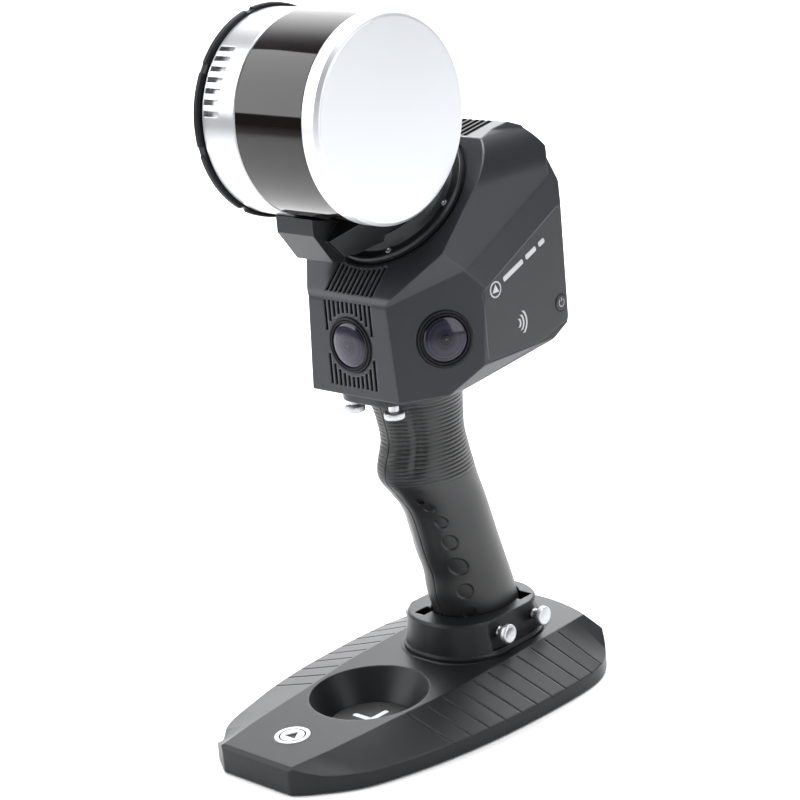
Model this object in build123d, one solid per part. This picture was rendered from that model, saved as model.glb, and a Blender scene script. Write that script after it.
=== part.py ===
from build123d import *
import math
import os

os.makedirs("parts", exist_ok=True)

# Handheld laser scanner with a slanted rotating head, standing in a ground base plate.
# Millimetres, +Z up, +X to the scanner's right, -Y to the front.
# Origin: the ground point under the centring well of the base plate.

# ---------------------------------------------------------------- base plate
BASE_FRONT = -83.0
BASE_REAR = 156.0
FOOT_GAP = 0.8
RIM_TOP = 8.8
STRIP_Z = 18.0                 # strip height above ground at the well centre
STRIP_SLOPE = 1.8              # degrees, strip rises to the rear
WELL_R_TOP = 32.0
WELL_R_FLOOR = 21.7
WELL_FLOOR_Z = 2.4
GROOVE_COUNT = 11
GROOVE_PITCH = 11.6
GROOVE_FIRST = -7.0
BADGE_Y = -56.0
BADGE_R = 9.2

# ---------------------------------------------------------------- collar
COLLAR_Y = 84.5
COLLAR_HALF_W = 30.5
COLLAR_HALF_L = 37.0
COLLAR_Z0 = 20.0
COLLAR_TOP = 39.5
COLLAR_FLOOR = 2.0
COLLAR_TAPER = 7.0
SCREW_Z = 31.5
COLLAR_SCREW_Y = (74.0, 103.0)

# ---------------------------------------------------------------- handle
LEAN = 15.5                    # degrees, top of the handle leans to the front
GRIP_HX = 20.3
GRIP_HY = 26.6
GRIP_REF_Y = 84.3
GRIP_REF_Z = 52.0
HANDLE_Z0 = 22.4
HANDLE_TOP = 171.5
# station height, centre y, half width, half depth
GRIP_STATIONS = (
    (64.0, 81.6, 20.1, 25.2),
    (77.0, 77.3, 20.0, 25.4),
    (102.0, 70.0, 19.8, 25.2),
    (115.0, 63.6, 19.8, 27.4),
    (125.0, 58.6, 20.0, 29.9),
    (132.0, 57.3, 20.0, 29.2),
    (145.0, 58.0, 19.6, 25.4),
    (157.0, 57.4, 20.0, 26.4),
    (171.5, 55.6, 22.5, 28.2),
)
CELL_HX = 10.6
CELL_HY = 13.8

# ---------------------------------------------------------------- housing
FRONT_Y = 12.0
REAR_Y = 123.0
BODY_Z0 = 177.0
BEND_Z = 228.3
BODY_TOP = 302.0
TOP_FRONT_Z = 298.0             # height of the crown where it meets the slanted face
HALF_W = 53.0
ARCH_HALF_W = 47.7
ARCH_R = 25.0
FRONT_HALF = 29.0
FACET_YAW = 30.0
FACET_PITCH = 3.5
SIDE_Z0 = 189.3                # lower edge of the side walls
SIDE_X0 = 43.6                 # half width of the underside
WALL = 2.4
CAM_Z = 204.0
CAM_R = 14.6
SLOT_PITCH = 3.1
SLOT_COUNT = 11
SLOT_W = 1.9

# ---------------------------------------------------------------- rotating head
TILT = 45.0
DISC_Y = 55.1
DISC_Z = 271.4
DISC_R = 39.5
LIDAR_Y = 15.3
LIDAR_Z = 320.7
LIDAR_R = 51.5
PLATE_X0 = -42.7
BAND_X0 = -38.6
BAND_X1 = -14.8
CAP_X0 = 30.5
CAP_X1 = 40.9

TAN_LEAN = math.tan(math.radians(LEAN))
LEAN_DIR = (0, -math.sin(math.radians(LEAN)), math.cos(math.radians(LEAN)))
TAN_SLOPE = math.tan(math.radians(STRIP_SLOPE))
HEAD_PLANE = Plane(origin=(0, DISC_Y, DISC_Z), x_dir=(1, 0, 0),
                   z_dir=(0, -math.sin(math.radians(TILT)), math.cos(math.radians(TILT))))

nodes = {}


def keep(name, shape):
    nodes[name] = shape
    return shape


def box_at(x0, x1, y0, y1, z0, z1):
    return Pos((x0 + x1) / 2, (y0 + y1) / 2, (z0 + z1) / 2) * Box(x1 - x0, y1 - y0, z1 - z0)


def cyl(r, p0, p1):
    a, b = Vector(*p0), Vector(*p1)
    pl = Plane(origin=a, z_dir=(b - a))
    return extrude(pl * Circle(r), amount=(b - a).length)


def tube(r_out, r_in, p0, p1):
    a, b = Vector(*p0), Vector(*p1)
    over = (b - a).normalized()
    return cyl(r_out, p0, p1) - cyl(r_in, tuple(a - over), tuple(b + over))


def revolve_profile(points, plane):
    # points are (radius, height) along the plane's normal
    face = make_face(Polyline(*[(r, 0, h) for r, h in points], close=True))
    return plane.location * revolve(face, axis=Axis.Z)


def trim(solid, point, normal):
    pl = Plane(origin=point, z_dir=normal)
    return split(solid, bisect_by=pl, keep=Keep.BOTTOM)


def try_fillet(shape, edges, radius):
    for r in (radius, radius * 0.6, radius * 0.3):
        try:
            out = fillet(edges, r)
            if out.is_valid and out.volume > 0.5 * shape.volume:
                return out
        except Exception:
            continue
    return shape


def strip_z(y):
    return STRIP_Z + y * TAN_SLOPE


def grip_y(z):
    return GRIP_REF_Y - (z - GRIP_REF_Z) * TAN_LEAN


# ================================================================= base plate
# half outline from the front corner to the rear end: x, y
OUTLINE = ((24.0, -83.0), (37.5, -71.0), (47.5, -59.0), (56.0, -40.0), (64.5, -9.0), (69.5, 22.0),
           (72.0, 62.0), (71.8, 88.0), (68.5, 108.0), (57.5, 126.5), (36.5, 144.5), (0.0, BASE_REAR))
# cross-section stations: y, half width of the raised strip, half width at the rim, rim height
CROWN = ((-84.0, 23.9, 24.1, 15.3), (-71.0, 26.2, 37.5, 9.6), (-59.0, 28.2, 47.5, 9.0),
         (-40.0, 30.3, 56.0, RIM_TOP), (-9.0, 33.3, 64.5, RIM_TOP), (22.0, 37.2, 69.5, RIM_TOP),
         (62.0, 38.0, 72.0, RIM_TOP), (88.0, 38.0, 71.8, RIM_TOP), (108.0, 38.0, 68.5, RIM_TOP),
         (126.0, 38.0, 57.9, RIM_TOP), (160.0, 38.0, 57.9, RIM_TOP))
CROWN_OVER = 4.0
# the crown falls to the rim round the rear end: axis y, radius at strip height, radius at the rim
REAR_AXIS_Y = 47.0
REAR_R_TOP = 94.0
REAR_R_RIM = 107.5


def base_outline():
    left = [(-x, y) for x, y in reversed(OUTLINE[:-1])]
    edge = Spline(*(list(OUTLINE) + left), tangents=[(0.55, 0.35), (0.55, -0.35)])
    front = Line(left[-1], OUTLINE[0])
    face = make_face(Curve() + [edge, front])
    corners = [v for v in face.vertices() if v.Y < BASE_FRONT + 1]
    return fillet(corners, 3.0)


def flank_at(y):
    # strip half width, rim half width and rim height at one station, by linear interpolation
    for (y0, *a), (y1, *b) in zip(CROWN, CROWN[1:]):
        if y0 <= y <= y1:
            f = (y - y0) / (y1 - y0)
            return [p + (q - p) * f for p, q in zip(a, b)]
    return list(CROWN[-1][1:])


def base_crown():
    # raised strip and the two falling flanks, lofted through the stations
    secs = []
    for y, strip, rim, rim_z in CROWN:
        top = strip_z(y)
        slope = 0.557 if rim - strip < 1.0 else (top - rim_z) / (rim - strip)
        out = rim + CROWN_OVER
        low = top - slope * (out - strip)
        pl = Plane(origin=(0, y, 0), x_dir=(1, 0, 0), z_dir=(0, -1, 0))
        pts = [(-out, FOOT_GAP), (-out, low), (-strip, top), (strip, top), (out, low), (out, FOOT_GAP)]
        secs.append(pl * make_face(Polyline(*pts, close=True)))
    return loft(secs, ruled=True)


def make_base():
    body = extrude(base_outline(), amount=40.0) & base_crown()
    strip_rear = strip_z(REAR_AXIS_Y + REAR_R_TOP)
    fall = (strip_rear - RIM_TOP) / (REAR_R_RIM - REAR_R_TOP)
    cone_h = 40.0
    cone = Pos(0, REAR_AXIS_Y, 0) * Cone(REAR_R_TOP + strip_rear / fall, REAR_R_TOP - (cone_h - strip_rear) / fall,
                                         cone_h, align=(Align.CENTER, Align.CENTER, Align.MIN))
    body -= box_at(-80, 80, 100.0, 170.0, FOOT_GAP, cone_h) - cone
    ramp_cut = Plane.YZ * make_face(Polyline((BASE_FRONT - 1, strip_z(BASE_FRONT) - 2.9),
                                             (BASE_FRONT + 2.2, strip_z(BASE_FRONT) + 0.3),
                                             (BASE_FRONT - 1, strip_z(BASE_FRONT) + 4.0), close=True))
    body -= extrude(ramp_cut, amount=40, both=True)
    pad = extrude(Pos(0, COLLAR_Y, 0) * RectangleRounded(66, 80, 28), amount=COLLAR_Z0 - FOOT_GAP)
    pad = Pos(0, 0, FOOT_GAP) * pad
    upper = extrude(Pos(0, COLLAR_Y, COLLAR_Z0) * RectangleRounded(66, 80, 28), amount=20)
    body = (body + pad) - upper
    well_h = 20.0
    slope = (WELL_R_TOP - WELL_R_FLOOR) / (STRIP_Z - WELL_FLOOR_Z)
    well = Pos(0, 0, WELL_FLOOR_Z) * Cone(WELL_R_FLOOR, WELL_R_FLOOR + slope * well_h, well_h,
                                          align=(Align.CENTER, Align.CENTER, Align.MIN))
    body -= well
    body -= Pos(0, 0, 1.0) * Cylinder(WELL_R_FLOOR, 6, align=(Align.CENTER, Align.CENTER, Align.MIN))
    for k in range(GROOVE_COUNT):
        y = GROOVE_FIRST + k * GROOVE_PITCH
        strip, rim, rim_z = flank_at(y)
        fall = (strip_z(y) - rim_z) / (rim - strip)
        for side in (-1, 1):
            a = Vector(side * (strip + 1.5), y, strip_z(y) - 1.5 * fall)
            b = Vector(side * (rim + 3.0), y, rim_z - 3.0 * fall)
            d = b - a
            pl = Plane(origin=a, x_dir=d, z_dir=(0, 1, 0))
            slot = extrude(pl * Pos(d.length / 2, 0) * Rectangle(d.length, 1.3), amount=0.55, both=True)
            body -= slot
    body -= Pos(0, BADGE_Y, strip_z(BADGE_Y)) * Rot(STRIP_SLOPE, 0, 0) * Cylinder(BADGE_R + 0.1, 1.2)
    for sx in (-1, 1):
        for y in (-55.0, 95.0):
            x = 22.0 if y < 0 else 48.0
            body -= Pos(sx * x, y, 0) * Cylinder(9.0, 5.6)
    for x, y in COLLAR_FIX:
        body -= cyl(2.2, (x, y, -1), (x, y, 30))
        body -= cyl(4.2, (x, y, -1), (x, y, 8.0))
    return body


COLLAR_FIX = ((-24.0, 70.0), (24.0, 70.0), (-24.0, 106.0), (24.0, 106.0))
base_plate = keep("base_plate", make_base())

pads = []
for sx in (-1, 1):
    for y in (-55.0, 95.0):
        x = 22.0 if y < 0 else 48.0
        pads.append(Pos(sx * x, y, 1.4) * Cylinder(8.8, 2.8))
keep("base_foot_pads", Compound(children=pads))

floor_disc = Pos(0, 0, 1.0) * Cylinder(WELL_R_FLOOR - 0.1, 1.4, align=(Align.CENTER, Align.CENTER, Align.MIN))
cross = RectangleRounded(25.2, 3.2, 1.2) + RectangleRounded(3.2, 25.2, 1.2)
cross_solid = extrude(Pos(0, 0, WELL_FLOOR_Z - 0.6) * cross, amount=0.7)
keep("well_floor_disc", floor_disc - cross_solid)
keep("target_cross", cross_solid)

badge_loc = Pos(0, BADGE_Y, strip_z(BADGE_Y)) * Rot(STRIP_SLOPE, 0, 0)
badge = Pos(0, 0, -0.6) * Cylinder(BADGE_R, 0.8, align=(Align.CENTER, Align.CENTER, Align.MIN))
glyph_cut = (Circle(7.2) - Circle(6.2)) + make_face(Polyline((-4.0, -2.4), (4.0, -2.4), (0, 4.4), close=True))
glyph_cut = extrude(Pos(0, 0, -0.7) * glyph_cut, amount=1.5)
keep("base_badge", badge_loc * (badge - glyph_cut))


# ================================================================= collar
def grip_prism(hx, hy, z0, z1):
    pl = Plane(origin=(0, grip_y(z0), z0))
    return extrude(pl * Ellipse(hx, hy), amount=(z1 - z0) / LEAN_DIR[2], dir=LEAN_DIR)


def collar_plan(grow):
    w = COLLAR_HALF_W + grow
    return RectangleRounded(2 * w, 2 * (COLLAR_HALF_L + grow), min(w, 27.5 + grow))


collar = extrude(Pos(0, COLLAR_Y, COLLAR_Z0) * collar_plan(1.2), amount=COLLAR_TOP - COLLAR_Z0,
                 taper=COLLAR_TAPER)
foot = extrude(Pos(0, COLLAR_Y, COLLAR_Z0) * collar_plan(2.2), amount=2.2)
collar = collar + foot
top_edges = collar.edges().filter_by_position(Axis.Z, COLLAR_TOP - 0.01, COLLAR_TOP + 0.01)
collar = chamfer(top_edges, 1.0)
collar -= grip_prism(GRIP_HX + 0.9, GRIP_HY + 0.9, COLLAR_Z0 + COLLAR_FLOOR, COLLAR_TOP + 6)
for sx in (-1, 1):
    pocket = box_at(28.0, 40.0, 66.0, 111.0, COLLAR_Z0 + 3.0, COLLAR_TOP + 1)
    collar -= pocket if sx > 0 else mirror(pocket, about=Plane.YZ)
    for y in COLLAR_SCREW_Y:
        collar -= cyl(2.55, (sx * 10, y, SCREW_Z), (sx * 40, y, SCREW_Z))
    # cleaning notch behind each side of the grip
    collar -= box_at(min(sx * 11.0, sx * 22.0), max(sx * 11.0, sx * 22.0), 100.0, 109.5,
                     COLLAR_TOP - 9.0, COLLAR_TOP + 1)
# notch at the front left of the opening
collar -= box_at(-16.0, -9.0, 56.0, 66.0, COLLAR_TOP - 7.0, COLLAR_TOP + 1)
for x, y in COLLAR_FIX:
    collar -= cyl(1.6, (x, y, COLLAR_Z0 - 1), (x, y, COLLAR_Z0 + 9.0))
keep("collar", collar)

fix = []
for x, y in COLLAR_FIX:
    fix.append(cyl(1.6, (x, y, 7.9), (x, y, COLLAR_Z0 + 8.6)) + cyl(3.6, (x, y, 4.6), (x, y, 8.0))
               - cyl(1.5, (x, y, 4.5), (x, y, 6.2)))
keep("collar_fixing_screws", Compound(children=fix))


def thumb_screw(tip, direction, grip_len, neck_len):
    # tip: inner end; grip_len: threaded length; then a neck and a knurled head
    d = Vector(*direction).normalized()
    t = Vector(*tip)
    a = t + d * grip_len
    b = a + d * neck_len
    c = b + d * 3.6
    body = cyl(2.45, tuple(t), tuple(a)) + cyl(2.9, tuple(a), tuple(b))
    head = cyl(5.3, tuple(b), tuple(c))
    head = chamfer(head.edges().filter_by(GeomType.CIRCLE), 0.5)
    return body + head


for label, sx, y in (("front_right", 1, COLLAR_SCREW_Y[0]), ("rear_right", 1, COLLAR_SCREW_Y[1]),
                     ("front_left", -1, COLLAR_SCREW_Y[0]), ("rear_left", -1, COLLAR_SCREW_Y[1])):
    keep("collar_thumb_screw_" + label,
         thumb_screw((sx * 21.4, y, SCREW_Z), (sx, 0, 0), 7.0, 4.4))


# ================================================================= handle
def grip_solid():
    secs = []
    for z in (HANDLE_Z0, 32.0, 42.0, 52.0):
        secs.append(Plane(origin=(0, grip_y(z), z)) * Ellipse(GRIP_HX, GRIP_HY))
    for z, y, hx, hy in GRIP_STATIONS:
        secs.append(Plane(origin=(0, y, z)) * Ellipse(hx, hy))
    return loft(secs)


def lean_box(hx, hy, z0, z1, dy=0.0):
    pl = Plane(origin=(0, grip_y(z0) + dy, z0))
    return extrude(pl * RectangleRounded(2 * hx, 2 * hy, 5.0), amount=(z1 - z0) / LEAN_DIR[2], dir=LEAN_DIR)


grip = grip_solid()
grip -= lean_box(CELL_HX + 2.2, CELL_HY + 2.2, HANDLE_Z0 - 2, 139.0)
grip -= cyl(7.0, (0, 57.5, 134.0), (0, 57.5, 173.0))
# serrated back strap set into the rear of the grip
STRAP_Z0, STRAP_Z1 = 46.0, 158.0
strap_path = box_at(-9.0, 9.0, -20, 160, STRAP_Z0, STRAP_Z1)


def rear_skin(offset):
    # everything behind a leaning plane that runs just inside the rear of the grip
    pts = [(grip_y(40) + GRIP_HY - offset, 40.0), (70.0 + 25.2 - offset, 102.0),
           (60.6 + 27.0 - offset, 130.0), (57.4 + 26.4 - offset, 157.0), (57.4 + 26.4 - offset, 175.0),
           (160.0, 175.0), (160.0, 40.0)]
    pl = Plane(origin=(0, 0, 0), x_dir=(0, 1, 0), z_dir=(1, 0, 0))
    return extrude(pl * make_face(Polyline(*pts, close=True)), amount=9.0, both=True)


back_zone = rear_skin(3.0) & strap_path
strap = grip & back_zone
grip -= back_zone
teeth = []
z = STRAP_Z0 + 3.0
while z < STRAP_Z1 - 2.0:
    teeth.append(z)
    z += 3.2
for z in teeth:
    if z < 102:
        y_skin = 95.2 + (102 - z) * 0.31
    elif z < 130:
        y_skin = 95.2 - (z - 102) * 0.23
    else:
        y_skin = 88.0 - (z - 130) * 0.14
    strap -= box_at(-10, 10, y_skin - 0.2, y_skin + 12, z, z + 1.4)
keep("handle_back_strap", strap)

# ribbed bands pressed into both flanks of the upper grip
for k in range(14):
    z = 133.0 + k * 2.7
    hx = 19.7 + 0.04 * max(0.0, z - 145)
    for sx in (-1, 1):
        grip -= Pos(sx * (hx + 9.75), 62.0, z) * Box(20, 34, 0.9)
# row of round finger dimples down both front flanks: height, angle from the front, radius
DIMPLES = ((107.5, 34.0, 2.9), (98.0, 41.5, 3.5), (85.2, 44.5, 4.4), (70.0, 44.5, 5.3), (54.8, 45.0, 4.4),
           (41.5, 43.0, 3.4))


def grip_section(z):
    # centre y and half axes of the grip at a height
    rows = [(h, grip_y(h), GRIP_HX, GRIP_HY) for h in (HANDLE_Z0, 32.0, 42.0, 52.0)] + list(GRIP_STATIONS)
    for low, high in zip(rows, rows[1:]):
        if low[0] <= z <= high[0]:
            t = (z - low[0]) / (high[0] - low[0])
            return [a + (b - a) * t for a, b in zip(low[1:], high[1:])]
    return list(rows[-1][1:])


for z, angle, r in DIMPLES:
    yc, hx, hy = grip_section(z)
    sin_a = math.sin(math.radians(angle))
    cos_a = math.cos(math.radians(angle))
    out = Vector(sin_a / hx, -cos_a / hy, 0).normalized() * (1.6 * r)
    for sx in (-1, 1):
        grip -= Pos(sx * (hx * sin_a + out.X), yc - hy * cos_a + out.Y, z) * Sphere(1.9 * r)
SHELL_SCREWS = ((43.0, 113.0), (75.0, 160.0))
for y, z in SHELL_SCREWS:
    grip -= cyl(1.3, (-10, y, z), (17, y, z))
    grip -= cyl(2.6, (10.0, y, z), (30, y, z))
left = split(grip, bisect_by=Plane.YZ, keep=Keep.BOTTOM)
right = split(grip, bisect_by=Plane.YZ, keep=Keep.TOP)
if left.center().X > 0:
    left, right = right, left
keep("handle_shell_left", left)
keep("handle_shell_right", right)
screws = []
for y, z in SHELL_SCREWS:
    screws.append(cyl(1.25, (-9.5, y, z), (10.2, y, z)) + cyl(2.5, (10.1, y, z), (12.0, y, z)))
keep("handle_shell_screws", Compound(children=screws))

keep("battery_pack", lean_box(CELL_HX + 1.9, CELL_HY + 1.9, HANDLE_Z0 + 3.6, 138.6))
cap = lean_box(CELL_HX + 2.0, CELL_HY + 2.0, HANDLE_Z0 + 0.2, HANDLE_Z0 + 3.2)
keep("handle_end_cap", cap)

# mounting block between handle and housing, with the lip that carries the thumb screws
UNDER_Y0, UNDER_Y1, UNDER_Z1 = 46.0, 106.0, 188.3


def under_z(y):
    if y <= UNDER_Y0:
        return BODY_Z0
    return BODY_Z0 + (y - UNDER_Y0) * (UNDER_Z1 - BODY_Z0) / (UNDER_Y1 - UNDER_Y0)


lip = extrude(Pos(0, 39.0, 171.7) * RectangleRounded(41, 46, 12), amount=5.1)
neck_pts = [(20.0, 171.7), (20.0, 176.8), (46.0, 176.8), (90.0, under_z(90.0) - 0.2), (90.0, 171.7)]
neck = extrude(Plane.YZ * make_face(Polyline(*neck_pts, close=True)), amount=30, both=True)
neck = neck & extrude(Pos(0, 55.6, 165.0) * Ellipse(22.5, 28.2), amount=30)
mount_plate = lip + neck
MOUNT_SCREW = ((-14.0, 24.5), (14.0, 24.5))
for x, y in MOUNT_SCREW:
    mount_plate -= cyl(2.55, (x, y, 165), (x, y, 180))
mount_plate -= cyl(7.0, (0, 57.5, 165.0), (0, 57.5, 190.0))
keep("mount_plate", mount_plate)
for label, (x, y) in (("left", MOUNT_SCREW[0]), ("right", MOUNT_SCREW[1])):
    keep("mount_thumb_screw_" + label, thumb_screw((x, y, 181.5), (0, 0, -1), 9.9, 4.4))


# ================================================================= housing
def side_profile(t):
    # outer side silhouette moved inward by t
    c = t * 0.4142
    return [
        (FRONT_Y + t, BODY_Z0 + t), (FRONT_Y + t, BEND_Z - c),
        (TOP_FRONT_Z - 216.3 + t * 0.4142, TOP_FRONT_Z - t), (105.5, BODY_TOP - t),
        (113.0 - t * 0.3, 299.0 - t), (120.0 - t * 0.8, 288.0 - t * 0.5), (REAR_Y - t, 270.0),
        (REAR_Y - 0.5 - t, 206.0), (119.0 - t, 195.0 + t * 0.6), (106.0 - t * 0.4, UNDER_Z1 + t),
        (UNDER_Y0, BODY_Z0 + t)]


def facet_planes(solid, t):
    yaw = math.radians(FACET_YAW)
    pit = math.radians(FACET_PITCH)
    for sx in (-1, 1):
        n = Vector(sx * math.cos(yaw) * math.cos(pit), -math.sin(yaw) * math.cos(pit), math.sin(pit))
        p = Vector(sx * FRONT_HALF, FRONT_Y, BODY_Z0 + 20) - n * t
        solid = trim(solid, tuple(p), tuple(n))
    return solid


def body_solid(t):
    pl = Plane.YZ
    prof = make_face(Polyline(*side_profile(t), close=True))
    low = extrude(pl * prof, amount=HALF_W - t, both=True)
    low = facet_planes(low, t)
    for sx in (-1, 1):
        n = Vector(sx * 12.356, -2.358, 4.747).normalized()
        p = Vector(sx * HALF_W, 56.0, 227.6) - n * t
        low = trim(low, tuple(p), tuple(n))
        rear_n = Vector(sx * 1, 1, 0).normalized()
        low = trim(low, tuple(Vector(sx * (HALF_W - 3), REAR_Y, 220) - rear_n * t), tuple(rear_n))
        # the lower side edge is cut back to the underside
        low_n = Vector(sx * (SIDE_Z0 - BODY_Z0), 0, SIDE_X0 - HALF_W).normalized()
        low = trim(low, tuple(Vector(sx * HALF_W, 60, SIDE_Z0) - low_n * t), tuple(low_n))
    arch = extrude(pl * prof, amount=ARCH_HALF_W - t, both=True)
    gate = Plane.XZ * Pos(0, 222.0 + (BODY_TOP - 222.0) / 2 - t / 2) * Rectangle(
        2 * (ARCH_HALF_W - t), BODY_TOP - 222.0 - t)
    gate_solid = extrude(gate, amount=-160) + extrude(gate, amount=40)
    corner = gate_solid.edges().filter_by(Axis.Y)
    corner = [e for e in corner if e.center().Z > BODY_TOP - t - 0.5]
    gate_solid = fillet(corner, ARCH_R - t * 0.8)
    arch = arch & gate_solid
    for sx in (-1, 1):
        n = Vector(sx * 520.3, -203.1, -260.8).normalized()
        p = Vector(sx * 28.5, 13.0, 229.0) - n * t
        arch = trim(arch, tuple(p), tuple(n))
        rear_n = Vector(sx * 1, 1, 0).normalized()
        arch = trim(arch, tuple(Vector(sx * (ARCH_HALF_W - 5), REAR_Y, 220) - rear_n * t), tuple(rear_n))
    return low + arch


outer = body_solid(0.0)
bend = [e for e in outer.edges().filter_by(Axis.X) if abs(e.center().Y - FRONT_Y) < 0.5 and e.length > 30
        and abs(e.center().Z - BEND_Z) < 0.5]
outer = try_fillet(outer, bend, 8.0)
print("outer", outer.is_valid, round(outer.volume), len(outer.solids()), len(outer.edges()))
inner = body_solid(WALL)

HN = HEAD_PLANE.z_dir


def head_pt(x, s, d):
    # point from turntable coordinates: across, up along the slanted face, out of the face
    return tuple(HEAD_PLANE.origin + HEAD_PLANE.x_dir * x + HEAD_PLANE.y_dir * s + HN * d)


def head_cyl(r, d0, d1, x=0.0, s=0.0):
    return cyl(r, head_pt(x, s, d0), head_pt(x, s, d1))


shell = outer - inner
# bearing and motor barrel hanging behind the slanted face
BARREL_R = 29.0
BARREL_DEPTH = -30.0
barrel = head_cyl(BARREL_R, BARREL_DEPTH, -1.0)
shell = shell + (barrel & outer)
shell -= head_cyl(41.3, -1.2, 3.0)
shell -= head_cyl(25.1, BARREL_DEPTH - 1, 3.0)

# front vents: an upper and a lower row clipped round the front camera, and a row on the slanted face
slots = []
for k in range(SLOT_COUNT):
    x = (k - (SLOT_COUNT - 1) / 2) * SLOT_PITCH
    ring = math.sqrt(max(0.0, 16.6 ** 2 - x ** 2))
    for z0, z1 in ((CAM_Z + ring, 226.3), (181.6, CAM_Z - ring)):
        slots.append(box_at(x - SLOT_W / 2, x + SLOT_W / 2, FRONT_Y - 2, FRONT_Y + WALL + 1.2, z0, z1))
    top = -math.sqrt(43.4 ** 2 - x ** 2)
    mid = (top - 58.0) / 2
    slot = HEAD_PLANE * Pos(x, mid, -1.6) * Box(SLOT_W, top + 58.0, 8.0)
    slots.append(slot)
shell = shell - slots

# camera seats: one in front, one in each flank facet
pitch = math.radians(FACET_PITCH)
yaw = math.radians(FACET_YAW)


def camera_plane(sx):
    if sx == 0:
        return Plane(origin=(0, FRONT_Y, CAM_Z), x_dir=(1, 0, 0), z_dir=(0, -1, 0))
    n = Vector(sx * math.cos(yaw) * math.cos(pitch), -math.sin(yaw) * math.cos(pitch), math.sin(pitch))
    q = Vector(sx * FRONT_HALF, FRONT_Y, BODY_Z0 + 20)
    c = Vector(sx * 42.7, 36.1, 206.1)
    c = c - n * (c - q).dot(n)
    return Plane(origin=tuple(c), x_dir=(0, 0, 1), z_dir=tuple(n))


CAMERAS = {"front": camera_plane(0), "right": camera_plane(1), "left": camera_plane(-1)}
boards = []
for name, pl in CAMERAS.items():
    shell -= pl * Pos(0, 0, -4) * Cylinder(CAM_R, 14)
    bezel = revolve_profile([(10.6, -5.0), (CAM_R - 0.1, -5.0), (CAM_R - 0.1, 0.5), (13.6, 1.3),
                             (12.4, 1.3), (11.4, 0.1), (10.6, -0.6)], pl)
    barrel_pts = [(0.0, -19.0), (9.0, -19.0), (9.0, -5.4), (10.7, -5.4), (10.7, -0.8), (9.6, -1.6),
                  (8.2, -1.6), (8.2, -3.4), (0.0, -3.4)]
    keep("camera_%s_barrel" % name, bezel + revolve_profile(barrel_pts, pl))
    dome = pl * Pos(0, 0, -10.9) * Sphere(13.0)
    lens = dome & (pl * Pos(0, 0, 0.0) * Cylinder(8.1, 6.7))
    keep("camera_%s_lens" % name, lens)
    boards.append(pl * Pos(0, 0, -20.0) * Box(22.0, 22.0, 1.6))
keep("camera_boards", Compound(children=boards))

# bottom cover, wedge-shaped where the underside rises to the rear
CUT_A = (44.0, BODY_Z0)
CUT_B = (112.0, 194.2)
under = make_face(Polyline(CUT_A, CUT_B, (130.0, 199.0), (130.0, 170.0), (44.0, 170.0), close=True))
under_zone = extrude(Plane.YZ * under, amount=60, both=True)
cover = (outer & under_zone)
seat = extrude(Pos(0, 55.6, 165.0) * Ellipse(22.7, 28.4), amount=30) & box_at(-30, 30, 20, 90.2, 160, 200)
shell -= under_zone
cover -= seat & cyl(40, (0, 57.5, 160), (0, 57.5, 168))
cover -= cyl(7.0, (0, 57.5, 165.0), (0, 57.5, 200.0))
COVER_SCREWS = ((-38.0, 62.0), (38.0, 62.0), (-38.0, 100.0), (38.0, 100.0))
for x, y in COVER_SCREWS:
    cover -= cyl(1.35, (x, y, 170), (x, y, 205))
    cover -= cyl(2.9, (x, y, 170), (x, y, under_z(y) + 1.0))
    shell -= cyl(1.3, (x, y, 175), (x, y, under_z(y) + 8.0))
keep("bottom_cover", cover)

# front floor of the housing takes the two thumb screws of the mounting block
boss = []
for x, y in MOUNT_SCREW:
    boss.append(cyl(5.2, (x, y, BODY_Z0 + 0.5), (x, y, 185.0)))
shell = shell + boss
for x, y in MOUNT_SCREW:
    shell -= cyl(2.52, (x, y, 170), (x, y, 183.0))

# rear cover plate and its connector
RC_X, RC_Z0, RC_Z1 = 38.0, 208.0, 258.0
rear_zone = box_at(-RC_X, RC_X, REAR_Y - 2.2, REAR_Y + 3, RC_Z0, RC_Z1)
rear_zone = fillet(rear_zone.edges().filter_by(Axis.Y), 6.0)
rear_cover = outer & rear_zone
shell -= rear_zone
shell -= box_at(-RC_X + 5, RC_X - 5, REAR_Y - 4, REAR_Y + 1, RC_Z0 + 5, RC_Z1 - 5)
CONN = (-18.0, 228.0)
rear_cover -= cyl(8.1, (CONN[0], 110, CONN[1]), (CONN[0], 130, CONN[1]))
REAR_SCREWS = ((-33.5, 212.5), (33.5, 212.5), (-33.5, 253.5), (33.5, 253.5))
for x, z in REAR_SCREWS:
    rear_cover -= cyl(1.35, (x, 110, z), (x, 130, z))
    rear_cover -= cyl(2.6, (x, REAR_Y - 1.2, z), (x, 130, z))
    shell = shell + cyl(3.6, (x, REAR_Y - 10, z), (x, REAR_Y - 2.3, z))
    shell -= cyl(1.0, (x, REAR_Y - 9, z), (x, REAR_Y - 2, z))
keep("rear_cover", rear_cover)
conn = tube(8.0, 6.4, (CONN[0], REAR_Y - 8.0, CONN[1]), (CONN[0], REAR_Y + 1.6, CONN[1]))
conn = conn + tube(10.2, 6.4, (CONN[0], REAR_Y + 0.1, CONN[1]), (CONN[0], REAR_Y + 1.6, CONN[1]))
keep("rear_connector_shell", conn)
pins = cyl(6.3, (CONN[0], REAR_Y - 8.0, CONN[1]), (CONN[0], REAR_Y - 4.0, CONN[1]))
for k in range(7):
    a = k * math.pi / 3
    r = 0.0 if k == 6 else 3.8
    cx, cz = CONN[0] + r * math.cos(a), CONN[1] + r * math.sin(a)
    pins = pins + cyl(0.55, (cx, REAR_Y - 4.5, cz), (cx, REAR_Y - 0.4, cz))
keep("rear_connector_insert", pins)

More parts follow.
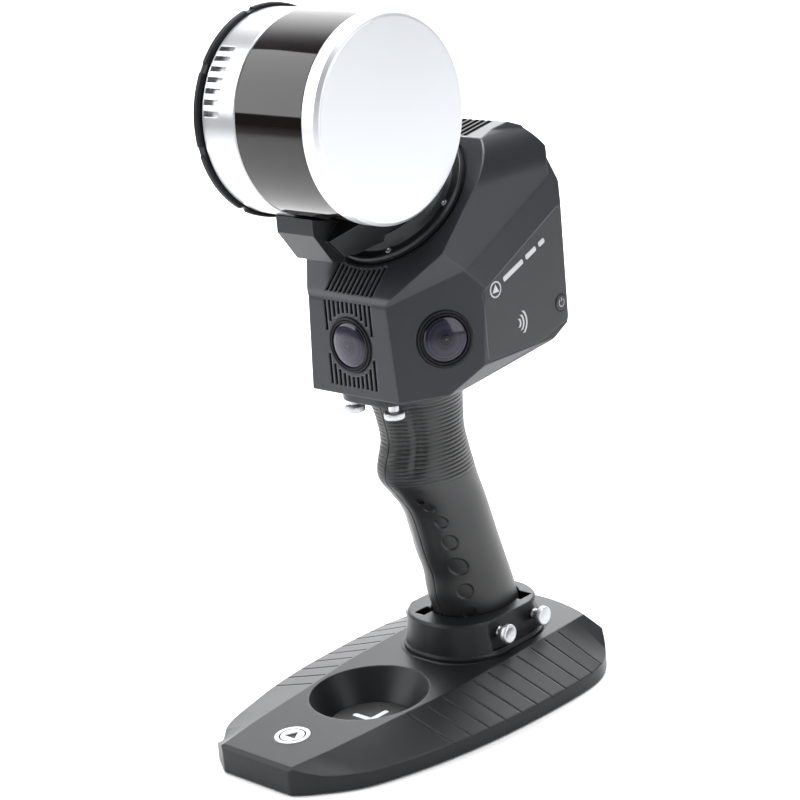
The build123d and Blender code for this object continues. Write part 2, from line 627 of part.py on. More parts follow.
# top heat sink let into the crown
SINK_X, SINK_Y0, SINK_Y1 = 25.2, 83.5, 109.0
sink_zone = box_at(-SINK_X, SINK_X, SINK_Y0, SINK_Y1, 284.0, 310.0)
sink = outer & sink_zone
shell -= sink_zone
for k in range(12):
    x = -23.1 + k * 4.2
    sink -= box_at(x - 1.25, x + 1.25, SINK_Y0 - 1, SINK_Y1 + 1, 288.0, 310.0)
sink = sink & box_at(-SINK_X + 0.1, SINK_X - 0.1, SINK_Y0 + 0.1, SINK_Y1 - 0.1, 284.0, 310.0)
keep("top_heat_sink", sink)

# side panels let into both flanks
BUTTON = (114.8, 206.5)
panel_pts = ((56.2, 190.3), (56.2, 226.5), (119.9, 258.2), (119.9, 201.0), (109.0, 190.3))
panel_face = make_face(Polyline(*panel_pts, close=True))
panel_face = fillet(panel_face.vertices(), 3.0)
for name, sx in (("left", -1), ("right", 1)):
    pl = Plane.YZ
    zone = extrude(pl * panel_face, amount=sx * 70) - extrude(pl * panel_face, amount=sx * (HALF_W - 1.2))
    zone -= under_zone
    shell -= zone
    panel = zone & outer
    if sx > 0:
        panel -= cyl(4.6, (40, *BUTTON), (60, *BUTTON))
        shell -= cyl(4.6, (46, *BUTTON), (60, *BUTTON))
    keep("side_panel_" + name, panel)

button = cyl(4.35, (48.6, *BUTTON), (HALF_W + 0.6, *BUTTON))
button = chamfer(button.edges().filter_by(GeomType.CIRCLE).sort_by(Axis.X)[-1], 0.5)
button -= extrude(Plane.YZ * Pos(BUTTON[0], BUTTON[1], HALF_W + 0.25)
                  * (Circle(2.3) - Circle(1.75) - Pos(0, 1.9) * Rectangle(1.4, 2.0)), amount=2)
button -= box_at(HALF_W + 0.25, HALF_W + 2, BUTTON[0] - 0.3, BUTTON[0] + 0.3, BUTTON[1] + 0.6, BUTTON[1] + 2.8)
keep("power_button", button)

# printed markings on the right panel: survey glyph, three plain bars, contactless arcs
MX = HALF_W
marks = []
glyph = Plane.YZ * Pos(65.0, 225.6, MX)
marks.append(glyph * extrude(Circle(4.3) - Circle(3.5), amount=0.12))
marks.append(glyph * extrude(make_face(Polyline((-2.6, -1.6), (2.6, -1.6), (0, 2.8), close=True)), amount=0.12))
for k, length in enumerate((17.0, 9.0, 5.0)):
    start = (0.0, 19.5, 31.0)[k]
    bar = Plane.YZ * Pos(71.4, 229.0, MX) * Rot(0, 0, 21.5) * Pos(start + length / 2, 0)
    marks.append(bar * extrude(RectangleRounded(length, 2.8, 1.0), amount=0.12))
for k in range(3):
    r = 3.0 + k * 2.4
    arc = (Circle(r + 0.6) - Circle(r - 0.6)) & (Pos(r, 0) * Rectangle(r * 1.5, r * 1.5))
    marks.append(Plane.YZ * Pos(79.0, 204.0, MX) * extrude(arc, amount=0.12))
keep("side_markings", Compound(children=marks))

shell_solids = shell.solids().sort_by(SortBy.VOLUME)
keep("main_housing", shell_solids[-1])
print("housing", shell_solids[-1].is_valid, [round(s.volume) for s in shell_solids])

screen = box_at(-18.5, 18.5, FRONT_Y + WALL + 1.4, FRONT_Y + WALL + 2.0, 180.5, 226.5)
screen -= cyl(16.0, (0, 10, CAM_Z), (0, 30, CAM_Z))
keep("vent_screen", screen & inner)

hs = []
for x, z in REAR_SCREWS:
    hs.append(cyl(0.98, (x, REAR_Y - 8.5, z), (x, REAR_Y - 1.2, z))
              + cyl(2.4, (x, REAR_Y - 1.2, z), (x, REAR_Y - 0.1, z)))
for x, y in COVER_SCREWS:
    z = under_z(y)
    hs.append(cyl(1.2, (x, y, z + 0.9), (x, y, z + 7.0)) + cyl(2.6, (x, y, z - 0.3), (x, y, z + 0.95)))
keep("housing_screws", Compound(children=hs))

# electronics inside
board = box_at(-40.0, 40.0, 56.0, 110.0, 199.0, 200.6)
keep("main_board", board - box_at(-45, -37, 50, 62, 195, 205) - box_at(37, 45, 50, 62, 195, 205))
keep("inertial_unit", box_at(20.0, 34.0, 70.0, 84.0, 200.7, 206.0))
coil = []
for k in range(4):
    w, h = 24.0 - k * 4.0, 20.0 - k * 4.0
    loop = RectangleRounded(w, h, 2.0) - RectangleRounded(w - 1.2, h - 1.2, 1.6)
    coil.append(Plane.YZ * Pos(80.0, 206.0, 49.9) * extrude(loop, amount=0.5))
coil.append(Plane.YZ * Pos(80.0, 206.0, 49.0) * extrude(RectangleRounded(27, 23, 2), amount=0.9))
keep("contactless_coil", Compound(children=coil))

FAN_Y0, FAN_Z = 37.0, 222.0
fan_frame = box_at(-15.0, 15.0, FAN_Y0, FAN_Y0 + 8.0, FAN_Z - 15.0, FAN_Z + 15.0)
fan_frame -= cyl(13.8, (0, FAN_Y0 - 1, FAN_Z), (0, FAN_Y0 + 6.6, FAN_Z))
fan_frame -= tube(13.8, 6.0, (0, FAN_Y0 + 6.0, FAN_Z), (0, FAN_Y0 + 9.0, FAN_Z))
for a in (45, 165, 285):
    arm = Pos(0, FAN_Y0 + 7.3, FAN_Z) * Rot(0, a, 0) * Pos(9.8, 0, 0) * Box(10.5, 1.2, 1.8)
    fan_frame = fan_frame + arm
keep("fan_frame", fan_frame)
hub = cyl(6.0, (0, FAN_Y0 + 0.4, FAN_Z), (0, FAN_Y0 + 6.1, FAN_Z))
blades = []
for k in range(7):
    b = Pos(0, FAN_Y0 + 3.2, FAN_Z) * Rot(0, k * 360.0 / 7, 0) * Pos(9.4, 0, 0) * Rot(38, 0, 0) * Box(7.6, 6.2, 0.9)
    blades.append(b)
rotor = hub + blades
keep("fan_rotor", rotor & cyl(13.4, (0, FAN_Y0 + 0.3, FAN_Z), (0, FAN_Y0 + 6.3, FAN_Z)))


# ================================================================= rotating head
def head_rev(points):
    return revolve_profile(points, HEAD_PLANE)


SCREW_CIRCLE = 36.1
disc = head_rev([(0.0, 0.3), (40.2, 0.3), (40.2, 2.2), (39.5, 3.4), (38.2, 3.4), (37.8, 2.6), (34.4, 2.6),
                 (32.6, 4.6), (31.0, 9.0), (0.0, 9.0)])
shaft = head_rev([(8.0, -28.0), (12.0, -28.0), (12.0, 0.35), (8.0, 0.35)])
disc = disc + shaft
LIDAR_AXIS = ((-60.0, LIDAR_Y, LIDAR_Z), (60.0, LIDAR_Y, LIDAR_Z))
disc -= cyl(LIDAR_R + 1.0, *LIDAR_AXIS)
disc -= head_cyl(8.0, -30.0, 4.0)
fixings = []
for k in range(6):
    a = math.radians(k * 60.0 + 25.5)
    x, s = SCREW_CIRCLE * math.sin(a), -SCREW_CIRCLE * math.cos(a)
    disc -= head_cyl(1.3, 0.0, 3.0, x, s)
    fixings.append(head_cyl(1.2, 0.6, 2.7, x, s) + (head_cyl(1.6, 2.65, 3.7, x, s)
                                                 - head_cyl(0.8, 3.1, 4.5, x, s)))
keep("turntable_disc", disc)
keep("turntable_screws", Compound(children=fixings))
keep("bearing_outer_ring", head_rev([(20.6, -13.0), (25.0, -13.0), (25.0, -4.0), (20.6, -4.0)]))
keep("bearing_inner_ring", head_rev([(12.05, -13.0), (15.4, -13.0), (15.4, -4.0), (12.05, -4.0)]))
balls = []
for k in range(16):
    a = math.radians(k * 22.5)
    c = head_pt(18.0 * math.cos(a), 18.0 * math.sin(a), -8.5)
    balls.append(Pos(*c) * Sphere(2.3))
keep("bearing_balls", Compound(children=balls))
keep("head_motor_stator", head_rev([(15.0, -28.0), (25.0, -28.0), (25.0, -15.5), (15.0, -15.5)]))
keep("head_motor_rotor", head_rev([(12.05, -27.5), (14.6, -27.5), (14.6, -16.0), (12.05, -16.0)]))
keep("slip_ring", head_rev([(0.0, -42.0), (6.5, -42.0), (6.5, -10.0), (0.0, -10.0)]))

CHEEK_X0 = -29.5
CHEEK_X1 = -4.0
# bracket: cheek block under the silver band, neck running to the turntable, cradle round the band
block = make_face(Polyline((-40.5, 40.5), (-46.5, 34.5), (-49.5, 15.0), (-46.0, 9.2), (-30.0, 5.4), (22.0, 5.4),
                           (30.0, 12.0), (30.0, 20.0), (0.0, 30.0), close=True))
side_pl = Plane(origin=HEAD_PLANE.origin, x_dir=HEAD_PLANE.y_dir, z_dir=(1, 0, 0))
# section coordinates: first along the slanted face, second out of it
if (side_pl.y_dir.dot(HN)) < 0:
    side_pl = Plane(origin=HEAD_PLANE.origin, x_dir=HEAD_PLANE.y_dir, z_dir=(-1, 0, 0))
sgn = 1.0 if side_pl.z_dir.X > 0 else -1.0


def head_slab(face, x0, x1):
    body = extrude(side_pl * face, amount=60, both=True)
    return body & box_at(x0, x1, -200, 300, 100, 500)


cheek = head_slab(block, CHEEK_X0, CHEEK_X1)
neck_sec = make_face(Polyline((-44.0, 26.0), (-46.0, 14.0), (-40.0, 9.1), (-26.0, 5.2), (18.0, 5.2), (24.0, 12.0),
                              (0.0, 20.0), close=True))
plan = make_face(Polyline((-5.0, -44.0), (-1.0, -44.0), (17.0, -25.0), (24.0, -18.0), (24.0, 18.0),
                          (-5.0, 18.0), close=True))
neck_plan = extrude(HEAD_PLANE * plan, amount=40)
neck_arm = head_slab(neck_sec, CHEEK_X1 - 1.0, 24.0) & neck_plan
bracket = cheek + neck_arm
bracket -= cyl(LIDAR_R + 0.9, (-16.4, LIDAR_Y, LIDAR_Z), (60.0, LIDAR_Y, LIDAR_Z))
bracket -= cyl(LIDAR_R + 0.05, (-60.0, LIDAR_Y, LIDAR_Z), (-16.0, LIDAR_Y, LIDAR_Z))
bracket -= cyl(54.2, (-60.0, LIDAR_Y, LIDAR_Z), (BAND_X0 - 0.05, LIDAR_Y, LIDAR_Z))
bracket -= head_rev([(0.0, -5.0), (41.0, -5.0), (41.0, 2.65), (34.45, 2.65), (32.7, 4.65), (31.05, 9.05), (0, 9.05)])
parts = bracket.solids().sort_by(SortBy.VOLUME)
print("bracket", [round(s.volume) for s in parts])
keep("head_bracket", parts[-1])


def lidar_rev(points):
    # points are (radius, x)
    pl = Plane(origin=(0, LIDAR_Y, LIDAR_Z), x_dir=(0, 1, 0), z_dir=(1, 0, 0))
    return revolve_profile(points, pl)


def lidar_radial(count, start, x0, x1, r0, r1, width):
    cuts = []
    for k in range(count):
        a = start + k * 360.0 / count
        cuts.append(Pos((x0 + x1) / 2, LIDAR_Y, LIDAR_Z) * Rot(a, 0, 0) * Pos(0, 0, (r0 + r1) / 2)
                    * Box(x1 - x0, width, r1 - r0))
    return cuts


back = lidar_rev([(0.0, PLATE_X0), (52.4, PLATE_X0), (53.6, PLATE_X0 + 1.0), (53.6, BAND_X0 - 0.9),
                  (52.8, BAND_X0 - 0.1), (0.0, BAND_X0 - 0.1)])
back -= lidar_radial(8, 12.0, PLATE_X0 - 1, BAND_X0 + 1, 52.2, 55.0, 5.0)
keep("lidar_back_plate", back)
band = lidar_rev([(0.0, BAND_X0), (50.6, BAND_X0), (LIDAR_R, BAND_X0 + 1.0), (LIDAR_R, BAND_X1 - 0.8),
                  (50.8, BAND_X1 - 0.05), (47.0, BAND_X1 - 0.05), (47.0, BAND_X1 - 2.0), (44.0, BAND_X1 - 2.0),
                  (44.0, -24.0), (6.2, -24.0), (6.2, -33.0), (0.0, -33.0)])
fins = []
for base_angle in (44.0, 220.0):
    for k in range(7):
        a = base_angle + k * 6.2
        fins.append(Pos(-31.5, LIDAR_Y, LIDAR_Z) * Rot(a, 0, 0) * Pos(0, 0, 50.2) * Box(10.5, 2.6, 4.0))
band = band - fins
keep("lidar_base_band", band)
keep("lidar_window", lidar_rev([(48.4, BAND_X1), (51.2, BAND_X1), (51.2, CAP_X0 - 0.05), (48.4, CAP_X0 - 0.05)]))
keep("lidar_cap", lidar_rev([(0.0, CAP_X0), (51.0, CAP_X0), (51.6, CAP_X0 + 0.7), (51.6, CAP_X1 - 2.2),
                             (49.8, CAP_X1 - 0.3), (49.0, CAP_X1 - 0.3), (48.7, CAP_X1), (0.0, CAP_X1)])
     - cyl(44.0, (CAP_X0 - 1, LIDAR_Y, LIDAR_Z), (CAP_X0 + 5.0, LIDAR_Y, LIDAR_Z)))
rotor_body = lidar_rev([(0.0, -21.0), (40.0, -21.0), (40.0, -17.0), (10.0, -17.0), (10.0, 24.0), (38.0, 24.0),
                        (38.0, 27.0), (0.0, 27.0)])
rotor_body = rotor_body + lidar_rev([(0.0, -32.0), (4.0, -32.0), (4.0, -20.9), (0.0, -20.9)])
keep("lidar_rotor", rotor_body)
optics = box_at(-14.0, 21.0, LIDAR_Y - 30.0, LIDAR_Y - 26.0, LIDAR_Z - 20.0, LIDAR_Z + 20.0)
for zz in (-10.0, 10.0):
    optics = optics + cyl(8.5, (3.5, LIDAR_Y - 38.0, LIDAR_Z + zz), (3.5, LIDAR_Y - 29.5, LIDAR_Z + zz))
optics = optics + box_at(-16.9, 23.9, LIDAR_Y - 29.0, LIDAR_Y - 27.0, LIDAR_Z - 12.0, LIDAR_Z + 12.0)
keep("lidar_optics", optics)

for name, shape in nodes.items():
    solids = shape.solids()
    ok = all(s.is_valid for s in solids)
    print("%-32s solids %2d valid %s volume %9.1f" % (name, len(solids), ok, sum(s.volume for s in solids)))
    export_step(shape, "parts/%s.step" % name)
print(len(nodes), "nodes")
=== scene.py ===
import math

import bmesh
import bpy
from mathutils import Matrix, Vector


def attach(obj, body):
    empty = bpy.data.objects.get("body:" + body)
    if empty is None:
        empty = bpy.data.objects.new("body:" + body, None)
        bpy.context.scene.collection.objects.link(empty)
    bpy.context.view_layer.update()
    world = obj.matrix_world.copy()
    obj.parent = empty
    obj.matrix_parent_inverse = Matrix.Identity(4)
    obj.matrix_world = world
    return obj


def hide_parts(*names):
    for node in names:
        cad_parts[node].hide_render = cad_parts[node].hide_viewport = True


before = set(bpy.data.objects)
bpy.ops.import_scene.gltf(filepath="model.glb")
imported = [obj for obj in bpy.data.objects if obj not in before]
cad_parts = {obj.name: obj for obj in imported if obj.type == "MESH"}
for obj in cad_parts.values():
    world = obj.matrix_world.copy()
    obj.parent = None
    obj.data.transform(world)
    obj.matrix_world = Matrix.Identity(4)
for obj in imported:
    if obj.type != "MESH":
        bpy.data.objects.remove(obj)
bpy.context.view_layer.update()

bl_info = {
    "name": "Laser scanner on ground base",
    "version": (1, 0, 0),
    "blender": (4, 5, 0),
    "location": "3D Viewport > Sidebar > Scanner",
    "description": "Builds the looks of a handheld laser scanner standing in its ground base",
    "category": "Object",
}

MM = 0.001
SIDES = (("right", 1), ("left", -1))
MATERIALS = {}

# colour sockets of a Mix node, whose names are shared by its other kinds of socket
MIX_A = 6
MIX_B = 7
MIX_RESULT = 2


# ------------------------------------------------------------------ node groups
def node(tree, kind, **values):
    """A new node with its own settings."""
    made = tree.nodes.new(kind)
    for key, value in values.items():
        setattr(made, key, value)
    return made


def group_tree(name, ins, outs):
    """A node group with named sockets, and its input and output nodes."""
    tree = bpy.data.node_groups.new(name, "ShaderNodeTree")
    for label, kind, default in ins:
        socket = tree.interface.new_socket(name=label, in_out="INPUT", socket_type=kind)
        socket.default_value = default
    for label, kind in outs:
        tree.interface.new_socket(name=label, in_out="OUTPUT", socket_type=kind)
    return tree, node(tree, "NodeGroupInput"), node(tree, "NodeGroupOutput")


def math_node(tree, operation, first, second=None, clamp=False):
    """Result of one sum, whose terms are numbers or sockets."""
    made = node(tree, "ShaderNodeMath", operation=operation, use_clamp=clamp)
    for socket, term in zip(made.inputs, (first, second)):
        if isinstance(term, (int, float)):
            socket.default_value = term
        elif term is not None:
            tree.links.new(term, socket)
    return made.outputs[0]


def ramp(tree, value, low, high):
    """0 below low, 1 above high and even between them."""
    made = node(tree, "ShaderNodeMapRange", clamp=True)
    made.inputs["From Min"].default_value = low
    made.inputs["From Max"].default_value = high
    tree.links.new(value, made.inputs["Value"])
    return made.outputs["Result"]


def noise(tree, vector, scale, detail):
    """Noise texture over a vector, at a scale that comes from a socket."""
    made = node(tree, "ShaderNodeTexNoise")
    made.inputs["Detail"].default_value = detail
    tree.links.new(vector, made.inputs["Vector"])
    tree.links.new(scale, made.inputs["Scale"])
    return made


SMUDGE_SCALE = 14.0
FINE_SHARE = 0.7


def build_grain_group():
    """Fine grain and slow smudges of a moulded, coated or blasted surface."""
    tree, start, end = group_tree(
        "SurfaceGrain",
        [("Scale", "NodeSocketFloat", 900.0), ("Smudge", "NodeSocketFloat", SMUDGE_SCALE),
         ("Base", "NodeSocketColor", (0.2, 0.2, 0.2, 1)), ("Vary", "NodeSocketFloat", 0.08),
         ("Rough", "NodeSocketFloat", 0.4), ("Rough Vary", "NodeSocketFloat", 0.08)],
        [("Color", "NodeSocketColor"), ("Roughness", "NodeSocketFloat"), ("Height", "NodeSocketFloat")])
    coord = node(tree, "ShaderNodeTexCoord")
    fine = noise(tree, coord.outputs["Object"], start.outputs["Scale"], 3.0)
    slow = noise(tree, coord.outputs["Object"], start.outputs["Smudge"], 4.0)
    slow.inputs["Roughness"].default_value = 0.6
    swing = math_node(tree, "SUBTRACT", slow.outputs["Fac"], 0.5)
    grain = math_node(tree, "SUBTRACT", fine.outputs["Fac"], 0.5)
    both = math_node(tree, "ADD", swing, math_node(tree, "MULTIPLY", grain, FINE_SHARE))
    gain = math_node(tree, "ADD", math_node(tree, "MULTIPLY", both, start.outputs["Vary"]), 1.0)
    scaled = node(tree, "ShaderNodeVectorMath", operation="SCALE")
    tree.links.new(start.outputs["Base"], scaled.inputs[0])
    tree.links.new(gain, scaled.inputs["Scale"])
    tree.links.new(scaled.outputs[0], end.inputs["Color"])
    swung = math_node(tree, "MULTIPLY", both, start.outputs["Rough Vary"])
    tree.links.new(math_node(tree, "ADD", start.outputs["Rough"], swung), end.inputs["Roughness"])
    tree.links.new(fine.outputs["Fac"], end.inputs["Height"])


# how far the two normals part where the painted edge highlight starts, and where it is full
HIGHLIGHT_START = 0.01
HIGHLIGHT_FULL = 0.22
ROUNDING_SAMPLES = 6


def build_edge_group():
    """Mask of the painted highlight that makes edges slightly brighter, from the difference of two normals.
    """
    tree, start, end = group_tree(
        "EdgeWear",
        [("Radius", "NodeSocketFloat", 0.0006), ("Gain", "NodeSocketFloat", 1.0)],
        [("Mask", "NodeSocketFloat"), ("Normal", "NodeSocketVector")])
    rounded = node(tree, "ShaderNodeBevel", samples=ROUNDING_SAMPLES)
    tree.links.new(start.outputs["Radius"], rounded.inputs["Radius"])
    plain = node(tree, "ShaderNodeNewGeometry")
    dot = node(tree, "ShaderNodeVectorMath", operation="DOT_PRODUCT")
    tree.links.new(rounded.outputs[0], dot.inputs[0])
    tree.links.new(plain.outputs["Normal"], dot.inputs[1])
    apart = math_node(tree, "SUBTRACT", 1.0, dot.outputs["Value"])
    highlit = ramp(tree, apart, HIGHLIGHT_START, HIGHLIGHT_FULL)
    tree.links.new(math_node(tree, "MULTIPLY", highlit, start.outputs["Gain"], clamp=True), end.inputs["Mask"])
    tree.links.new(rounded.outputs[0], end.inputs["Normal"])


BRUSH_SCALE = 500.0


def build_brush_group():
    """Fine turned or drawn lines along one direction."""
    tree, start, end = group_tree(
        "BrushLines",
        [("Stretch", "NodeSocketVector", (1.0, 1.0, 1.0)), ("Scale", "NodeSocketFloat", BRUSH_SCALE)],
        [("Value", "NodeSocketFloat")])
    coord = node(tree, "ShaderNodeTexCoord")
    stretched = node(tree, "ShaderNodeVectorMath", operation="MULTIPLY")
    tree.links.new(coord.outputs["Object"], stretched.inputs[0])
    tree.links.new(start.outputs["Stretch"], stretched.inputs[1])
    lines = noise(tree, stretched.outputs[0], start.outputs["Scale"], 2.0)
    tree.links.new(lines.outputs["Fac"], end.inputs["Value"])


# brightness of the lens elements, with painted reflections as the thin bright rings and the bright middle
# dot: share of the lens radius, grey level
LENS_RADIUS = 0.012
LENS_STOPS = (
    (0.0, 0.30), (0.035, 0.22), (0.05, 0.012), (0.12, 0.02), (0.135, 0.09), (0.15, 0.012), (0.26, 0.010),
    (0.275, 0.16), (0.30, 0.05), (0.42, 0.075), (0.56, 0.11), (0.60, 0.06), (0.62, 0.15), (0.64, 0.06),
    (0.73, 0.075), (0.75, 0.17), (0.77, 0.05), (0.86, 0.035), (0.88, 0.12), (0.90, 0.012), (1.0, 0.006))


def build_lens_group():
    """Colour of the stacked lens elements by distance from the lens axis, with painted reflections as bright
    rings and a bright middle dot.
    """
    tree, start, end = group_tree("LensRings", [("Tint", "NodeSocketColor", (0.1, 0.1, 0.16, 1))],
                                  [("Color", "NodeSocketColor")])
    coord = node(tree, "ShaderNodeTexCoord")
    split = node(tree, "ShaderNodeSeparateXYZ")
    tree.links.new(coord.outputs["Object"], split.inputs[0])
    squares = [math_node(tree, "POWER", split.outputs[i], 2.0) for i in (0, 1)]
    radius = math_node(tree, "SQRT", math_node(tree, "ADD", *squares))
    zones = node(tree, "ShaderNodeValToRGB")
    stops = zones.color_ramp.elements
    for i, (at, level) in enumerate(LENS_STOPS):
        stop = stops[i] if i < 2 else stops.new(at)
        stop.position = at
        stop.color = (level, level, level, 1)
    tree.links.new(math_node(tree, "DIVIDE", radius, LENS_RADIUS), zones.inputs["Fac"])
    tinted = node(tree, "ShaderNodeMix", data_type="RGBA", blend_type="MULTIPLY")
    tinted.inputs["Factor"].default_value = 1.0
    tree.links.new(zones.outputs["Color"], tinted.inputs[MIX_A])
    tree.links.new(start.outputs["Tint"], tinted.inputs[MIX_B])
    tree.links.new(tinted.outputs[MIX_RESULT], end.inputs["Color"])


def add_group(tree, group, **values):
    """A node group placed in a material with its own values."""
    made = node(tree, "ShaderNodeGroup", node_tree=bpy.data.node_groups[group])
    for key, value in values.items():
        made.inputs[key.replace("_", " ")].default_value = value
    return made


# ------------------------------------------------------------------ materials
# gain and lift of the painted highlight that brightens the base colour along edges
EDGE_GAIN = 2.2
EDGE_LIFT = 0.06
BRUSH_GRAIN = 0.3
BRUSH_ROUGH = 0.18
BUMP_DISTANCE = 0.0002


def surface(name, base, metallic=0.0, rough=0.4, vary=0.08, rough_vary=0.08, scale=900.0, bump=0.12,
            edge=0.0, edge_radius=0.0006, specular=0.5, brush=None):
    """One procedural material: grain, smudges, softened edges with a painted highlight along them, and
    optional brush lines.
    """
    mat = bpy.data.materials.new(name)
    mat.use_nodes = True
    tree = mat.node_tree
    bsdf = tree.nodes["Principled BSDF"]
    grain = add_group(tree, "SurfaceGrain", Scale=scale, Smudge=SMUDGE_SCALE, Base=(*base, 1.0), Vary=vary,
                      Rough=rough, Rough_Vary=rough_vary)
    color = grain.outputs["Color"]
    rough_out = grain.outputs["Roughness"]
    height = grain.outputs["Height"]
    edge_round_highlight = add_group(tree, "EdgeWear", Radius=edge_radius, Gain=edge)
    # painted highlight: along edges the base colour is mixed towards a brighter one
    if edge > 0:
        mix = node(tree, "ShaderNodeMix", data_type="RGBA")
        tree.links.new(edge_round_highlight.outputs["Mask"], mix.inputs["Factor"])
        tree.links.new(color, mix.inputs[MIX_A])
        highlit = [min(1.0, channel * EDGE_GAIN + EDGE_LIFT) for channel in base]
        mix.inputs[MIX_B].default_value = (*highlit, 1.0)
        color = mix.outputs[MIX_RESULT]
    if brush:
        lines = add_group(tree, "BrushLines", Stretch=brush, Scale=BRUSH_SCALE)
        faint = math_node(tree, "MULTIPLY", height, BRUSH_GRAIN)
        height = math_node(tree, "ADD", faint, lines.outputs["Value"])
        swing = math_node(tree, "SUBTRACT", lines.outputs["Value"], 0.5)
        rough_out = math_node(tree, "ADD", rough_out, math_node(tree, "MULTIPLY", swing, BRUSH_ROUGH))
    bumped = node(tree, "ShaderNodeBump")
    bumped.inputs["Strength"].default_value = bump
    bumped.inputs["Distance"].default_value = BUMP_DISTANCE
    tree.links.new(height, bumped.inputs["Height"])
    tree.links.new(edge_round_highlight.outputs["Normal"], bumped.inputs["Normal"])
    tree.links.new(color, bsdf.inputs["Base Color"])
    tree.links.new(rough_out, bsdf.inputs["Roughness"])
    tree.links.new(bumped.outputs["Normal"], bsdf.inputs["Normal"])
    bsdf.inputs["Metallic"].default_value = metallic
    bsdf.inputs["Specular IOR Level"].default_value = specular
    return mat


def lens_material(name):
    """Coated glass over ringed elements, with a painted violet coating reflection that grows towards grazing
    views.
    """
    mat = bpy.data.materials.new(name)
    mat.use_nodes = True
    tree = mat.node_tree
    bsdf = tree.nodes["Principled BSDF"]
    rings = add_group(tree, "LensRings", Tint=(0.25, 0.24, 0.40, 1))
    # painted reflection: towards grazing views the colour turns to dark violet
    face = node(tree, "ShaderNodeLayerWeight")
    face.inputs["Blend"].default_value = 0.3
    mix = node(tree, "ShaderNodeMix", data_type="RGBA")
    tree.links.new(face.outputs["Facing"], mix.inputs["Factor"])
    tree.links.new(rings.outputs["Color"], mix.inputs[MIX_A])
    mix.inputs[MIX_B].default_value = (0.045, 0.032, 0.085, 1)
    tree.links.new(mix.outputs[MIX_RESULT], bsdf.inputs["Base Color"])
    bsdf.inputs["Roughness"].default_value = 0.14
    bsdf.inputs["Specular IOR Level"].default_value = 0.2
    bsdf.inputs["Coat Weight"].default_value = 0.4
    bsdf.inputs["Coat Roughness"].default_value = 0.02
    return mat


# every finish: a colour, or the name of the colour setting that gives it, and its surface
FINISHES = {
    "base_coat": ("base", dict(metallic=0.3, rough=0.38, vary=0.10, edge=0.35, scale=1500, bump=0.10,
                               specular=0.30, edge_radius=0.0012)),
    "body_coat": ("body", dict(metallic=0.55, rough=0.36, vary=0.08, edge=0.45, scale=1700, bump=0.07,
                               specular=0.42, edge_radius=0.0015)),
    "panel_dark": ((0.026, 0.027, 0.030), dict(metallic=0.3, rough=0.42, edge=0.3, scale=1900, bump=0.08)),
    "grip_plastic": ("grip", dict(rough=0.40, vary=0.16, rough_vary=0.12, scale=1300, bump=0.22)),
    "grip_rubber": ((0.010, 0.010, 0.011), dict(rough=0.62, vary=0.2, scale=800, bump=0.3)),
    "black_plastic": ((0.008, 0.008, 0.009), dict(rough=0.45, vary=0.15, scale=1000, bump=0.15)),
    "silver_metal": ("silver", dict(metallic=0.9, rough=0.30, vary=0.04, edge=0.2, scale=2400, bump=0.05)),
    "cap_metal": ("cap", dict(metallic=0.75, rough=0.36, vary=0.03, scale=2400, bump=0.04)),
    "steel": ((0.55, 0.56, 0.58), dict(metallic=1.0, rough=0.25, vary=0.05, edge=0.2, scale=900, bump=0.05,
                                       brush=(1.0, 1.0, 0.05))),
    "black_anodised": ((0.014, 0.014, 0.016), dict(metallic=0.5, rough=0.48, vary=0.1, edge=0.4, scale=1600,
                                                   bump=0.06, specular=0.25)),
    "head_grey": ((0.022, 0.023, 0.025), dict(metallic=0.5, rough=0.38, vary=0.1, edge=1.0, scale=1600,
                                              bump=0.08)),
    "window_black": ((0.0035, 0.0018, 0.0015), dict(rough=0.05, rough_vary=0.02, vary=0.3, bump=0.0,
                                                    specular=0.45)),
    "mark_white": ((0.82, 0.83, 0.84), dict(rough=0.45, vary=0.05, bump=0.05)),
    "mark_grey": ((0.52, 0.53, 0.54), dict(rough=0.45, vary=0.05, bump=0.05)),
    "circuit_green": ((0.012, 0.075, 0.035), dict(rough=0.35, vary=0.25, scale=300, bump=0.2)),
    "copper": ((0.60, 0.26, 0.12), dict(metallic=1.0, rough=0.3, vary=0.15, scale=600, bump=0.1)),
    "battery_wrap": ((0.02, 0.04, 0.12), dict(rough=0.3, vary=0.1, scale=300, bump=0.05)),
}


def build_materials(colours):
    """The node groups, and then every material by its name."""
    for build in (build_grain_group, build_edge_group, build_brush_group, build_lens_group):
        build()
    MATERIALS["lens_glass"] = lens_material("lens_glass")
    for name, (colour, finish) in FINISHES.items():
        base = getattr(colours, colour) if isinstance(colour, str) else colour
        MATERIALS[name] = surface(name, tuple(base), **finish)


def material(name):
    """A material, built with all the others when the first one is asked for."""
    if not MATERIALS:
        build_materials(bpy.context.scene.scanner_colours)
    return MATERIALS[name]


# ------------------------------------------------------------------ settings
class ScannerColours(bpy.types.PropertyGroup):
    """Paint, plastic and metal colours of the scanner."""
    body: bpy.props.FloatVectorProperty(
        name="Housing", description="Paint of the camera housing", size=3, subtype="COLOR",
        min=0.0, max=1.0, default=(0.036, 0.038, 0.043))
    base: bpy.props.FloatVectorProperty(
        name="Base", description="Coat of the ground base and the collar", size=3, subtype="COLOR",
        min=0.0, max=1.0, default=(0.014, 0.015, 0.017))
    grip: bpy.props.FloatVectorProperty(
        name="Grip", description="Plastic of the pistol grip", size=3, subtype="COLOR",
        min=0.0, max=1.0, default=(0.012, 0.0125, 0.0135))
    silver: bpy.props.FloatVectorProperty(
        name="Silver", description="Metal of the lidar's band and of the thumb screws", size=3,
        subtype="COLOR", min=0.0, max=1.0, default=(0.52, 0.535, 0.55))
    cap: bpy.props.FloatVectorProperty(
        name="Lidar cap", description="Blasted metal of the lidar's cap", size=3, subtype="COLOR",
        min=0.0, max=1.0, default=(0.80, 0.82, 0.85))


